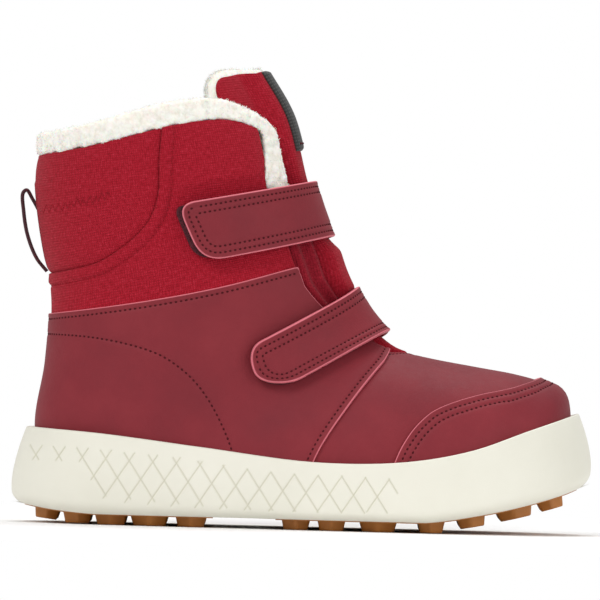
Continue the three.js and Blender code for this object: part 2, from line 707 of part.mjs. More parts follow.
// ---- Straps ----------------------------------------------------------------------------------
// A strap lies along one section of the last, from its anchor on the medial side over the tongue
// to its tip on the lateral side. base is the outer offset of what its tip lies on.
const STRAPS = {
  upper: { at: 3.05, reach: UPPER_REACH, base: panelOut, low: TIP_CORNER_LOW },
  lower: { at: 7.05, reach: LOWER_REACH, base: overlayOut, low: TIP_CORNER_LOW + 3 },
};
const hinge = degrees(STRAP_HINGE_ANGLE);
const patchStack = PATCH_SEAT + PILE_PATCH + GAP + HOOK_PATCH + GAP;

// Offset of a strap's inner face: on its panel at the anchor, above both patches at the tip.
function strapInner(strap, angle) {
  const share = THREE.MathUtils.smoothstep(-angle, degrees(-20), degrees(24));
  return strap.base + THREE.MathUtils.lerp(PATCH_SEAT, patchStack, share);
}

// The section number of a line that lies a distance across the strap from its middle.
const across = (strap, angle, distance) => strap.at + distance / speedAlong(strap.at, angle);

// A strip along a strap. from and to are distances back from the strap's tip along it, measured
// on the lateral side; corners round its tip end.
function strip({ strap, rows, columns, start, end, half, corners, inner, outer }) {
  const tip = -angleBack(strap.at, strap.reach);
  const radius = lastPoint(strap.at, degrees(-75)).distanceTo(lastPoint(strap.at, degrees(-65))) / degrees(10);
  const endAngle = tip + end / radius;
  return patch({
    rows,
    columns,
    place: (r, c) => {
      const distance = half * (2 * r - 1);
      const corner = distance < 0 ? corners[0] : corners[1];
      const into = Math.max(0, Math.abs(distance) - half + corner);
      const cutBack = corner ? corner - Math.sqrt(Math.max(0, corner * corner - into * into)) : 0;
      const slant = TIP_SKEW * (distance + half);
      const angle = THREE.MathUtils.lerp(start, endAngle + (cutBack + slant) / radius, c);
      return { at: across(strap, angle, distance), angle };
    },
    inner: (spot) => inner(spot.angle),
    outer: (spot) => outer(spot.angle),
  });
}

function strapBand(strap) {
  return strip({
    strap,
    rows: 8,
    columns: 18,
    start: hinge,
    end: 0,
    half: STRAP_WIDTH / 2,
    corners: [TIP_CORNER_TOP, strap.low],
    inner: (angle) => strapInner(strap, angle),
    outer: (angle) => strapInner(strap, angle) + STRAP,
  });
}

function strapAnchor(strap) {
  const slit = HINGE_SLIT / gy(33);
  return patch({
    rows: 2,
    columns: 4,
    place: (r, c) => {
      const angle = hinge + slit + degrees(ANCHOR_SPAN) * c;
      return { at: across(strap, angle, (STRAP_WIDTH / 2) * (2 * r - 1)), angle };
    },
    inner: () => strap.base + GAP,
    outer: () => strap.base + GAP + STRAP,
  });
}

const PATCH_ROWS = 4;

function hookPatch(strap) {
  const inner = strap.base + PATCH_SEAT + PILE_PATCH + GAP;
  return strip({
    strap,
    rows: PATCH_ROWS,
    columns: 8,
    start: -angleBack(strap.at, strap.reach - PATCH_MARGIN - HOOK_LENGTH),
    end: PATCH_MARGIN,
    half: STRAP_WIDTH / 2 - PATCH_MARGIN,
    corners: [TIP_CORNER_TOP / 2, strap.low - PATCH_MARGIN],
    inner: constant(inner),
    outer: constant(inner + HOOK_PATCH),
  });
}

function pilePatch(strap) {
  return strip({
    strap,
    rows: PATCH_ROWS,
    columns: 12,
    start: -angleBack(strap.at, strap.reach + PATCH_MARGIN - PILE_LENGTH),
    end: -PATCH_MARGIN,
    half: STRAP_WIDTH / 2 - PATCH_MARGIN / 2,
    corners: [0, 0],
    inner: constant(strap.base + PATCH_SEAT),
    outer: constant(strap.base + PATCH_SEAT + PILE_PATCH),
  });
}

// ---- Heel pull loop ----------------------------------------------------------------------------
// A webbing loop that stands out behind the collar, narrowed at its two sewn ends.
const LOOP_TOP = gz(107); // heights of its ends
const LOOP_LOW = gz(86.4);
const LOOP_SEAT = 1; // from the panel to the middle of the tape at its ends
const LOOP_END_WIDTH = 1.8;
// The loop's outer line: the share of the way down from its top end, and its distance out from
// the line between the ends.
const LOOP_LINE = [[-0.22, 1.8], [-0.38, 3.4], [-0.34, 4.8], [-0.04, 5.4], [0.36, 5.1], [0.76, 3]];
const LOOP_STEPS = 20;

// The place on the back of the shaft at a height, at an offset from the last.
function backOfShaft(height, offset) {
  let low = 0;
  let high = LAST_SECTION / 2;
  for (let i = 0; i < 30; i++) {
    const middle = (low + high) / 2;
    if (onLast(middle, Math.PI, offset).z > height) low = middle;
    else high = middle;
  }
  return onLast(low, Math.PI, offset);
}

const loopTop = backOfShaft(LOOP_TOP, panelOut + LOOP_SEAT);
const loopLow = backOfShaft(LOOP_LOW, panelOut + LOOP_SEAT);

function pullLoop() {
  const down = loopLow.clone().sub(loopTop);
  const out = new THREE.Vector3(down.z, 0, -down.x).normalize();
  const line = LOOP_LINE.map(([share, away]) => loopTop.clone().addScaledVector(down, share).addScaledVector(out, away));
  const path = new THREE.CatmullRomCurve3([loopTop, ...line, loopLow]);
  const points = [];
  for (let i = 0; i <= LOOP_STEPS; i++) {
    const middle = path.getPoint(i / LOOP_STEPS);
    const tangent = path.getTangent(i / LOOP_STEPS);
    const normal = new THREE.Vector3(tangent.z, 0, -tangent.x);
    const standOff = Math.abs(middle.clone().sub(loopTop).dot(out));
    const share = THREE.MathUtils.smoothstep(standOff, 0.4, 4);
    const half = THREE.MathUtils.lerp(LOOP_END_WIDTH, PULL_LOOP_WIDTH, share) / 2;
    for (const [side, face] of [[-1, -1], [1, -1], [1, 1], [-1, 1]])
      points.push(middle.clone().addScaledVector(normal, (face * PULL_LOOP_THICK) / 2).setY(side * half));
  }
  const quads = [[3, 2, 1, 0]];
  for (let i = 0; i < LOOP_STEPS; i++)
    for (let k = 0; k < 4; k++) {
      const next = (k + 1) % 4;
      quads.push([i * 4 + k, i * 4 + next, i * 4 + 4 + next, i * 4 + 4 + k]);
    }
  quads.push([0, 1, 2, 3].map((k) => LOOP_STEPS * 4 + k));
  return solid(fromQuads(points, quads));
}

// ---- Materials and assembly ----------------------------------------------------------------------
const finish = (color, roughness) => new THREE.MeshStandardMaterial({ color, roughness, metalness: 0 });
const leather = finish(0x8c3039, 0.5);
const textile = finish(0xb01f2c, 0.9);
const pile = finish(0xf0efe4, 1);
const rubber = finish(0xebe9dc, 0.6);
const gum = finish(0xb8762c, 0.55);
const stiff = finish(0xcfc6b4, 0.8);
const foam = finish(0xe2ddcf, 0.9);
const maroonTape = finish(0x4c1420, 0.85);
const blackTape = finish(0x26282a, 0.6);

const boot = new THREE.Group();

function place(name, made, material) {
  const mesh = new THREE.Mesh(geometryOf(made), material);
  mesh.name = name;
  boot.add(mesh);
}

place("cup_sole", cupSole(body(overlayOut + GAP)), rubber);
place("heel_tread", tread(HEEL_TREAD, HEEL_ROWS), gum);
place("forefoot_tread", tread(FOREFOOT_TREAD, FOREFOOT_ROWS), gum);
place("sole_filler", soleFiller(), foam);
place("insole_board", insoleBoard(), stiff);
place("footbed", footbed(), pile);
place("vamp", vamp(), leather);
place("toe_cap", toeCap(), leather);
place("toe_puff", toePuff(), stiff);
place("quarter_lateral", quarter(LATERAL), leather);
place("quarter_medial", quarter(MEDIAL), leather);
place("heel_counter", heelCounter(), stiff);
place("shaft_panel_lateral", shaftPanel(LATERAL), textile);
place("shaft_panel_medial", shaftPanel(MEDIAL), textile);
place("collar_rear", collarRear(), textile);
place("shaft_foam", shaftFoam(), foam);
place("lining", lining(), pile);
place("collar_rim", collarRim(), pile);
place("tongue_upper", tongueUpper(tongueFabric), textile);
place("tongue_fleece_upper", tongueUpper(tongueFleece), pile);
place("tongue_base", tongueBase(tongueFabric), textile);
place("tongue_fleece_base", tongueBase(tongueFleece), pile);
place("gusset_lateral", gusset(-1), textile);
place("gusset_medial", gusset(1), textile);
place("tongue_pull_tab", pullTab(), blackTape);
for (const [name, strap] of Object.entries(STRAPS)) {
  place(`${name}_strap`, strapBand(strap), leather);
  place(`${name}_strap_anchor`, strapAnchor(strap), leather);
  place(`${name}_hook_patch`, hookPatch(strap), maroonTape);
  place(`${name}_pile_patch`, pilePatch(strap), maroonTape);
}
place("heel_pull_loop", pullLoop(), maroonTape);

export default boot;
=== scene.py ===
import math

import bmesh
import bpy
import numpy as np
from mathutils import Matrix, Vector, noise


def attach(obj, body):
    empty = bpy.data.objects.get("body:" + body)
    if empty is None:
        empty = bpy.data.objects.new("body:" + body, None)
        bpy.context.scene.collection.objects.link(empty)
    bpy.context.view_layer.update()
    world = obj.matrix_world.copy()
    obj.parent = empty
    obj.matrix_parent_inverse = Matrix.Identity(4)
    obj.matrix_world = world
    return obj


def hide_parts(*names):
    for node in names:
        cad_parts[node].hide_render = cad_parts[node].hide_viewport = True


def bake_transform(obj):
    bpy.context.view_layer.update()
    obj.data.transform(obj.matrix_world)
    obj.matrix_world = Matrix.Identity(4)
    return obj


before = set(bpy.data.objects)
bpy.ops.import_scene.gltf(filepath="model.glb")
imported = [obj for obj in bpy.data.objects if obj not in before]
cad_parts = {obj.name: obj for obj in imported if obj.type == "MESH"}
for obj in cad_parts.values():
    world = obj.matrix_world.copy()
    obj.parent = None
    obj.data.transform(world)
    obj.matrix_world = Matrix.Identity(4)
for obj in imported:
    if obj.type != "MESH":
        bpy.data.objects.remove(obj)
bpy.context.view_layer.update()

# A child's winter boot for the right foot. Lengths below are in millimetres until a mesh is made.
# +X runs heel to toe, +Y to the medial side, +Z up, and the ground is z = 0.
MM = 0.001
for stray in ("Cube", "Light", "Camera"):
    if stray in bpy.data.objects:
        bpy.data.objects.remove(bpy.data.objects[stray])


# ---- Lines and curves --------------------------------------------------------------------------
def curve_through(points, share, closed=False):
    """Points at shares 0..1 of the way through a centripetal curve."""
    p = np.asarray(points, float)
    count = len(p)
    spans = count if closed else count - 1
    travel = (np.mod(share, 1) if closed else np.clip(share, 0, 1)) * spans
    i = np.minimum(np.floor(travel).astype(int), spans - 1)
    w = (travel - i)[:, None]
    if closed:
        p0, p1, p2, p3 = (p[(i + k) % count] for k in (-1, 0, 1, 2))
    else:
        longer = np.vstack([2 * p[0] - p[1], p, 2 * p[-1] - p[-2]])
        p0, p1, p2, p3 = (longer[i + k] for k in (0, 1, 2, 3))
    d0, d1, d2 = (np.maximum((step**2).sum(1) ** 0.25, 1e-4)[:, None]
                  for step in (p1 - p0, p2 - p1, p3 - p2))
    t1 = ((p1 - p0) / d0 - (p2 - p0) / (d0 + d1) + (p2 - p1) / d1) * d1
    t2 = ((p2 - p1) / d1 - (p3 - p1) / (d1 + d2) + (p3 - p2) / d2) * d1
    return p1 + t1 * w + (3 * (p2 - p1) - 2 * t1 - t2) * w**2 + (2 * (p1 - p2) + t1 + t2) * w**3


def drawn(points, steps=6):
    """A smooth side-view line through a few pattern points."""
    p = np.asarray(points, float)
    longer = np.vstack([p[0], p, p[-1]])
    run = []
    for i in range(len(p) - 1):
        p0, p1, p2, p3 = longer[i : i + 4]
        v0, v1 = (p2 - p0) / 2, (p3 - p1) / 2
        for w in np.arange(steps) / steps:
            run.append(p1 + v0 * w + (3 * (p2 - p1) - 2 * v0 - v1) * w**2
                       + (2 * (p1 - p2) + v0 + v1) * w**3)
    return np.array([*run, p[-1]])


def height_line(points):
    """A smooth height along the boot."""
    flat = [(x, 0, z) for x, z in points]
    table = curve_through(flat, np.linspace(0, 1, len(points) * 8 + 1))
    return lambda x: np.interp(x, table[:, 0], table[:, 2])


def smoothstep(value, low, high):
    share = np.clip((np.asarray(value, float) - low) / (high - low), 0, 1)
    return share * share * (3 - 2 * share)


def swelling(value, rise, full, ease, end):
    """0 outside rise..end, 1 between full and ease."""
    return smoothstep(value, rise, full) * (1 - smoothstep(value, ease, end))


# ---- The last: a fan of oval sections from the shaft's mouth round the heel to the toe ----------
# front x z, back x z, half width, share of the height where that lies, squareness above and
# below, and how far the section is moved towards the big toe.
SECTIONS = np.array([
    [-17.5, 157, -94, 147, 32, 0.5, 2.1, 2.1, 0], [-8.2, 141.5, -92.8, 130, 33, 0.5, 2.1, 2.1, 0],
    [-2.8, 123, -91, 110, 33.5, 0.5, 2.1, 2.1, 0], [1.2, 110, -88.3, 92, 33, 0.5, 2.1, 2.1, 0],
    [6.5, 97, -86.2, 75.5, 32, 0.5, 2.1, 2.1, 0], [10, 87.5, -87, 55, 31, 0.5, 2.1, 2.1, 0],
    [13.5, 80.5, -89.8, 32.5, 30, 0.46, 2.1, 2.2, 0], [18.5, 72.5, -85, 15, 29.5, 0.42, 2, 2.4, 0],
    [24.5, 66, -60, 13.5, 30, 0.36, 2, 2.6, 0], [31, 61.5, -28, 13, 31.5, 0.3, 2, 2.8, -0.5],
    [37, 59.8, -2, 12.5, 33, 0.26, 2, 2.8, -0.7], [45, 58.2, 18, 12.5, 34.2, 0.22, 2, 2.8, -0.3],
    [60, 55.8, 42, 12.5, 34.6, 0.2, 2.05, 2.8, 0.8], [73, 53.7, 54, 13.5, 33, 0.18, 2.1, 2.8, 2],
    [82, 51.3, 61, 14, 30.2, 0.16, 2.15, 2.8, 3], [88, 48.2, 65, 14.8, 28.8, 0.14, 2.2, 2.8, 3.8],
    [89.8, 42, 67.5, 15.4, 27, 0.12, 2.2, 2.8, 4.2], [89.4, 34.5, 70, 16, 25.5, 0.1, 2.2, 2.8, 4.2],
    [88.4, 27.5, 72, 16.6, 24, 0.1, 2.2, 2.8, 4.2], [85, 22, 74, 17.4, 21, 0.1, 2.2, 2.8, 4.2],
])
LAST_END = len(SECTIONS) - 1
FINE = np.linspace(0, LAST_END, 2400)


def section_table():
    """Front, back, breadth and squareness of the last at the fine section numbers."""
    share = FINE / LAST_END
    zeros = np.zeros(len(SECTIONS))
    front = curve_through(np.column_stack([SECTIONS[:, 0], zeros, SECTIONS[:, 1]]), share)
    back = curve_through(np.column_stack([SECTIONS[:, 2], zeros, SECTIONS[:, 3]]), share)
    breadth = curve_through(SECTIONS[:, [4, 5, 8]], share)
    square = curve_through(np.column_stack([SECTIONS[:, 6], SECTIONS[:, 7], zeros]), share)
    return np.column_stack([front[:, [0, 2]], back[:, [0, 2]], breadth, square[:, :2]])


TABLE = section_table()


def last_point(at, angle):
    """The last at a section number and an angle: 0 on the front ridge, positive medial."""
    at, angle = np.broadcast_arrays(np.asarray(at, float), np.asarray(angle, float))
    fx, fz, bx, bz, half, wide, shift, top, low = (np.interp(at, FINE, column)
                                                   for column in TABLE.T)
    c, s = np.cos(angle), np.sin(angle)
    power = np.where(c >= 0, top, low)
    rise = np.abs(c) ** (2 / power)
    height = np.where(c >= 0, wide + (1 - wide) * rise, wide - wide * rise)
    side = np.sign(s) * np.abs(s) ** (2 / power) * half + shift
    return np.stack([bx + (fx - bx) * height, side, bz + (fz - bz) * height], -1)


REACH = 0.04  # section numbers or radians to each side when a slope is taken


def round_rate(at, angle):
    """Millimetres round the last for each radian."""
    return np.linalg.norm(last_point(at, angle + 0.02) - last_point(at, angle - 0.02),
                          axis=-1) / 0.04


def along_rate(at, angle, reach=0.02):
    """Millimetres along the last for each section number."""
    moved = last_point(at + reach, angle) - last_point(at - reach, angle)
    return np.linalg.norm(moved, axis=-1) / (2 * reach)


def last_normal(at, angle):
    along = last_point(np.minimum(at + REACH, LAST_END),
                       angle) - last_point(np.maximum(at - REACH, 0), angle)
    round_it = last_point(at, angle + REACH) - last_point(at, angle - REACH)
    out = np.cross(along, round_it)
    return out / np.maximum(np.linalg.norm(out, axis=-1, keepdims=True), 1e-9)


def on_last(at, angle, offset):
    return last_point(at, angle) + last_normal(at, angle) * np.asarray(offset, float)[..., None]


def angle_back(at, distance):
    """The angle at which a section lies a given distance back from its front, in the side view."""
    tries = np.linspace(0, math.pi / 2, 800)
    away = last_point(at, tries) - last_point(at, 0)
    return float(np.interp(distance, np.hypot(away[:, 0], away[:, 2]), tries))


# ---- Layers and lines of the upper ---------------------------------------------------------------
PANEL_FACE, OVERLAY_FACE = 1.2, 2.7  # how far each layer stands off the last
LINING_INSIDE = -5.8
OPENING = np.radians([44, 44, 44, 44, 44, 42, 34, 27, 21, 14])
THROAT_END = len(OPENING) - 0.2
LINING_SHARE = 0.68


def opening(at):
    """Radians round from the front ridge to the textile's edge."""
    return np.interp(at, [*range(len(OPENING)), THROAT_END], [*OPENING, 0])


COLLAR_EDGE = [[-100, 124.5], [-92, 126.5], [-76, 129.6], [-60, 134], [-46, 137.8], [-31, 139.9],
               [-22, 138.4],
               [-17, 135.8], [-16, 131]]
FLAP_EDGE = [[-16, 131], [-15.2, 118], [-10.5, 107], [-6.5, 97], [-3, 86], [2, 74]]
QUARTER_TOP = [[-104, 70], [-88, 71.7], [-57, 76.8], [-30, 82.6], [-5.7, 89.6], [-2, 90],
               [0.4, 87.6]]
QUARTER_THROAT = [[0.4, 87.6], [5, 80.5], [12, 74], [20, 69], [26.4, 65.4], [28.6, 61],
                  [27.2, 56.9]]
QUARTER_FRONT = [[27.2, 56.9], [21, 49.2], [14.7, 40.7], [8.3, 31.3], [4.2, 23.5], [-2, 8]]
COLLAR_SEAM = [[-50.4, 142], [-51.4, 127], [-51.6, 113], [-55.7, 102.8], [-65, 94], [-76, 88.4],
               [-104, 83]]
COUNTER_LINE = [[-104, 64.5], [-74.5, 64.4], [-55, 60.8], [-44, 55.6], [-34, 45.6], [-24, 27],
                [-20, 8]]
TOE_CAP_LINE = [[28, 10], [31.8, 24.2], [36.1, 32.5], [41.2, 38.3], [46.9, 42], [58.5, 45.9],
                [71.6, 48.8],
                [83.4, 53.4], [88, 62]]
SOLE_TOP = height_line([[-100, 32.8], [-70, 31], [-35, 27.2], [5, 23], [35, 23.8], [58, 28.2],
                        [78, 35.6], [100, 43.4]])
SOLE_CURVE = height_line([[-100, 7], [-84, 4.6], [-66, 3.4], [0, 3], [42, 3.5], [62, 6.6],
                          [76, 9.8],
                          [90, 14], [100, 18]])
BOARD_LINE = height_line([[-100, 17], [-60, 16.6], [-10, 15.6], [40, 15.6], [60, 17], [76, 20],
                          [92, 24.5], [100, 27]])
LUG_HEIGHT = 3.6
BOARD_THICK = 2.1


def sole_bottom(x):
    return np.maximum(SOLE_CURVE(x), LUG_HEIGHT)


def upper_foot(x):
    return BOARD_LINE(x) + BOARD_THICK


# ---- Marking out and cutting pieces on the last ---------------------------------------------------
def signed_distance(points, line):
    """Side-view distance to a closed line, positive inside."""
    a = np.asarray(line, float)
    b = np.roll(a, -1, 0)
    edge = b - a
    length = np.maximum((edge**2).sum(1), 1e-12)
    result = np.empty(len(points))
    for start in range(0, len(points), 4000):
        p = points[start : start + 4000, None, :]
        share = np.clip(((p - a) * edge).sum(-1) / length, 0, 1)
        away = np.sqrt(((p - a - share[..., None] * edge) ** 2).sum(-1)).min(1)
        straddles = (a[:, 1] > p[..., 1]) != (b[:, 1] > p[..., 1])
        rise = np.where(np.abs(edge[:, 1]) < 1e-12, 1e-12, edge[:, 1])
        crossed = straddles & (p[..., 0] < a[:, 0] + (p[..., 1] - a[:, 1]) / rise * edge[:, 0])
        result[start : start + 4000] = np.where(crossed.sum(1) % 2 == 1, away, -away)
    return result


def line_distance(points, line):
    """Side-view distance to an open line."""
    a, b = np.asarray(line, float)[:-1], np.asarray(line, float)[1:]
    edge = b - a
    length = np.maximum((edge**2).sum(1), 1e-12)
    result = np.empty(len(points))
    for start in range(0, len(points), 4000):
        p = points[start : start + 4000, None, :]
        share = np.clip(((p - a) * edge).sum(-1) / length, 0, 1)
        result[start : start
               + 4000] = np.sqrt(((p - a - share[..., None] * edge) ** 2).sum(-1)).min(1)
    return result


def over_surface(at, angle, measure):
    """A side-view measure turned into millimetres over the last's surface."""
    value = measure(at, angle)
    step = 0.02
    m_a = (measure(at + step, angle) - measure(at - step, angle)) / (2 * step)
    m_b = (measure(at, angle + step) - measure(at, angle - step)) / (2 * step)
    p_a = (last_point(at + step, angle) - last_point(at - step, angle)) / (2 * step)
    p_b = (last_point(at, angle + step) - last_point(at, angle - step)) / (2 * step)
    aa, bb, ab = (p_a * p_a).sum(-1), (p_b * p_b).sum(-1), (p_a * p_b).sum(-1)
    steep = (m_a**2 * bb - 2 * m_a * m_b * ab + m_b**2 * aa) / np.maximum(aa * bb - ab**2, 1e-9)
    return value / np.maximum(np.sqrt(np.maximum(steep, 0)), 0.25)


def side_view(at, angle):
    return last_point(at, angle)[..., [0, 2]]


def inside(line):
    """Over-surface distance inside a closed side-view line."""
    closed = np.asarray(line, float)
    return lambda at, angle: over_surface(at, angle, lambda s,
                                          a: signed_distance(side_view(s, a), closed))


def from_line(line):
    """Over-surface distance from an open side-view line."""
    run = np.asarray(line, float)
    return lambda at, angle: over_surface(at, angle, lambda s,
                                          a: line_distance(side_view(s, a), run))


def outside(line):
    measure = inside(line)
    return lambda at, angle: -measure(at, angle)


def above_foot(at, angle):
    p = last_point(at, angle)
    return p[:, 2] - upper_foot(p[:, 0])


def beside_throat(at, angle):
    """Distance from the opening's edge, round it and past its end."""
    turned = np.mod(angle + math.pi, 2 * math.pi) - math.pi
    round_it = round_rate(at, angle)
    past = np.maximum(at - THROAT_END, 0) * along_rate(at, angle)
    beside = (np.abs(turned) - opening(at)) * round_it
    return np.where(past > 0, np.hypot(turned * round_it, past), beside)


def on_side(side):
    return lambda at, angle: side * last_point(at, angle)[:, 1] - 0.1


class Blank:
    """A piece marked out on the last: measures kept for each of its points, and its triangles."""

    def __init__(self, triangles, **measures):
        self.triangles = np.asarray(triangles)
        self.measures = {name: np.asarray(values, float) for name, values in measures.items()}

    def __getitem__(self, name):
        return self.measures[name]

    def score(self, name, *levels):
        """Adds points along lines of equal measure, so that no triangle crosses them."""
        for level in levels:
            self.score_line(name, level)
        return self

    def score_line(self, name, level):
        value = self[name] - level
        value[np.abs(value) < 0.02] = 0
        sign = np.sign(value)
        corners = sign[self.triangles]
        crossing = (corners.min(1) < 0) & (corners.max(1) > 0)
        fresh, ends, shares, made = {}, [], [], []

        def crossing_point(i, j):
            key = (min(i, j), max(i, j))
            if key not in fresh:
                fresh[key] = len(value) + len(fresh)
                ends.append(key)
                shares.append(value[key[0]] / (value[key[0]] - value[key[1]]))
            return fresh[key]

        for a, b, c in self.triangles[crossing].tolist():
            while sign[a] != 0 and not (sign[b] == sign[c] != 0):
                a, b, c = b, c, a
            if sign[a] == 0:
                m = crossing_point(b, c)
                made += [(a, b, m), (a, m, c)]
            else:
                m, n = crossing_point(a, b), crossing_point(a, c)
                made += [(a, m, n), (m, b, c), (m, c, n)]
        if ends:
            ends, share = np.array(ends), np.array(shares)
            for key, held in self.measures.items():
                between = held[ends[:, 0]] * (1 - share) + held[ends[:, 1]] * share
                self.measures[key] = np.concatenate([held, between])
            self.triangles = np.vstack([self.triangles[~crossing], np.array(made)])
        self[name][: len(value)][value == 0] = level

    def keep(self, name, level=0.0):
        """Cuts the piece out where the measure is at least the level."""
        self.score(name, level)
        self.triangles = self.triangles[(self[name][self.triangles] >= level - 1e-6).all(1)]
        used, index = np.unique(self.triangles, return_inverse=True)
        self.triangles = index.reshape(-1, 3)
        self.measures = {key: held[used] for key, held in self.measures.items()}
        return self

    def border(self):
        """The cut edges, in the direction of their triangles."""
        t = self.triangles
        edges = np.vstack([t[:, [0, 1]], t[:, [1, 2]], t[:, [2, 0]]])
        keys = np.sort(edges, 1)
        _, first, count = np.unique(keys, axis=0, return_index=True, return_counts=True)
        return edges[first[count == 1]]

    def runs(self, name, level):
        """Chains of points along a scored line."""
        t = self.triangles
        edges = np.unique(np.sort(np.vstack([t[:, [0, 1]], t[:, [1, 2]], t[:, [2, 0]]]), 1), axis=0)
        on_it = np.abs(self[name] - level) < 1e-6
        return chained(edges[on_it[edges].all(1)])


def chained(edges):
    """Edges joined end to end into runs of point numbers."""
    near = {}
    for a, b in edges.tolist():
        near.setdefault(a, []).append(b)
        near.setdefault(b, []).append(a)
    runs, seen = [], set()
    for start in sorted(near, key=lambda n: len(near[n])):
        if start in seen:
            continue
        run = [start]
        seen.add(start)
        while True:
            onward = [n for n in near[run[-1]] if n not in seen]
            if not onward:
                break
            run.append(onward[0])
            seen.add(onward[0])
        if len(run) > 1:
            runs.append(run)
    return runs


def grid_triangles(rows, columns):
    corner = (np.arange(rows - 1)[:, None] * columns + np.arange(columns - 1)[None, :]).ravel()
    a, b, c, d = corner, corner + columns, corner + columns + 1, corner + 1
    return np.vstack([np.column_stack([a, b, c]), np.column_stack([a, c, d])])


def spaced(low, high, speed, step):
    """Values from low to high whose points lie about a step apart."""
    fine = np.linspace(low, high, 200)
    rate = speed(fine)
    travel = np.concatenate([[0], np.cumsum((rate[1:] + rate[:-1]) / 2 * np.diff(fine))])
    return np.interp(np.linspace(0, travel[-1], max(3, int(travel[-1] / step) + 1)), travel, fine)


def marked_out(at_range, angle_range, step, **measures):
    """A blank over part of the last, with triangles of about a step and the measures given."""
    low, high = np.radians(angle_range[0]), np.radians(angle_range[1])
    turns = np.linspace(low, high, 24)

    def along(at):
        return np.sort([along_rate(at, turn) for turn in turns], 0)[-4]

    middle = (at_range[0] + at_range[1]) / 2
    at = spaced(*at_range, along, step)
    angle = spaced(low, high, lambda turn: round_rate(middle, turn), step)
    sections, angles = (grid.ravel() for grid in np.meshgrid(at, angle, indexing="ij"))
    held = {name: measure(sections, angles) for name, measure in measures.items()}
    return Blank(grid_triangles(len(at), len(angle)), at=sections, angle=angles, **held)


def least(*measures):
    return lambda at, angle: np.min([measure(at, angle) for measure in measures], 0)


# ---- Building objects ----------------------------------------------------------------------------
def build(name, points, faces, material, smooth=True, cloth=None, **marks):
    """A mesh object from points in millimetres. cloth holds weave coordinates, marks other values."""
    mesh = bpy.data.meshes.new(name)
    mesh.from_pydata((np.asarray(points) * MM).tolist(), [],
                     [list(map(int, face)) for face in faces])
    if cloth is not None:
        corners = np.empty(len(mesh.loops), int)
        mesh.loops.foreach_get("vertex_index", corners)
        layer = mesh.uv_layers.new(name="cloth")
        layer.data.foreach_set("uv", (np.asarray(cloth) * MM)[corners].ravel().astype(np.float32))
    for mark, values in marks.items():
        mesh.attributes.new(mark, "FLOAT",
                            "POINT").data.foreach_set("value", np.asarray(values, np.float32))
    mesh.materials.append(material)
    mesh.polygons.foreach_set("use_smooth", [smooth] * len(mesh.polygons))
    mesh.update()
    piece = bpy.data.objects.new(name, mesh)
    bpy.context.scene.collection.objects.link(piece)
    return piece


def seated(piece, body, slot, *nodes):
    """A piece that rides on one body and stands for CAD nodes, which are hidden; slot is not used."""
    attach(piece, body)
    if nodes:
        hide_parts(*nodes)
    return piece


def bending(piece, bodies, start, end, slot, *nodes):
    """A piece with its placement baked into its points, standing for CAD nodes, which are hidden; bodies is
    not used.
    """
    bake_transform(piece)
    if nodes:
        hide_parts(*nodes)
    return piece


def cloth_coordinates(at, angle):
    """Millimetres round and along the last, for the run of the threads."""
    turns = np.linspace(-2 * math.pi, 2 * math.pi, 800)
    ring = last_point(2.0, turns)
    round_it = np.concatenate([[0], np.cumsum(np.linalg.norm(np.diff(ring, axis=0), axis=1))])
    side = last_point(FINE, math.radians(-90))
    along = np.concatenate([[0], np.cumsum(np.linalg.norm(np.diff(side, axis=0), axis=1))])
    return np.column_stack([np.interp(angle, turns, round_it), np.interp(at, FINE, along)])


def round_off(edge, radius):
    """How far a face drops near its cut edge."""
    near = np.clip(radius - edge, 0, radius)
    return radius - np.sqrt(np.maximum(radius**2 - near**2, 0))


def groove(measure, level, depth=0.3, width=0.5):
    return depth * np.exp(-(((measure - level) / width) ** 2))


def cut_out(name, blank, outer, inner, material, rim=0.45, lift=0.0):
    """The closed piece between two faces of a blank, raised by lift. The mark 'cut' is 1 on its
    cut edge."""
    face = on_last(blank["at"], blank["angle"], outer)
    under = on_last(blank["at"], blank["angle"], inner)
    face[:, 2] += lift
    under[:, 2] += lift
    count = len(face)
    t = blank.triangles
    border = blank.border()
    walls = np.column_stack([border[:, 1], border[:, 0], border[:, 0] + count,
                             border[:, 1] + count])
    cloth = np.tile(cloth_coordinates(blank["at"], blank["angle"]), (2, 1))
    cut = np.clip(1 - blank["edge"] / rim, 0, 1)
    return build(name, np.vstack([face, under]), [*t, *(t[:, ::-1] + count), *walls], material,
                 cloth=cloth, cut=np.concatenate([cut, np.where(cut > 0.2, 1.0, 0.0)]))


# ---- Stitching -----------------------------------------------------------------------------------
STITCH = 1.05  # length of one stitch
STITCH_PITCH = 1.8


def resampled(points, pitch):
    """Places and directions every pitch along a run, in the middle of each step."""
    steps = np.linalg.norm(np.diff(points, axis=0), axis=1)
    travel = np.concatenate([[0], np.cumsum(steps)])
    places = np.arange(pitch / 2, travel[-1], pitch)
    at = lambda where: np.column_stack([np.interp(where, travel, points[:, k]) for k in range(3)])
    ahead = at(np.minimum(places + 0.4, travel[-1])) - at(np.maximum(places - 0.4, 0))
    return at(places), ahead / np.maximum(np.linalg.norm(ahead, axis=1, keepdims=True), 1e-9)


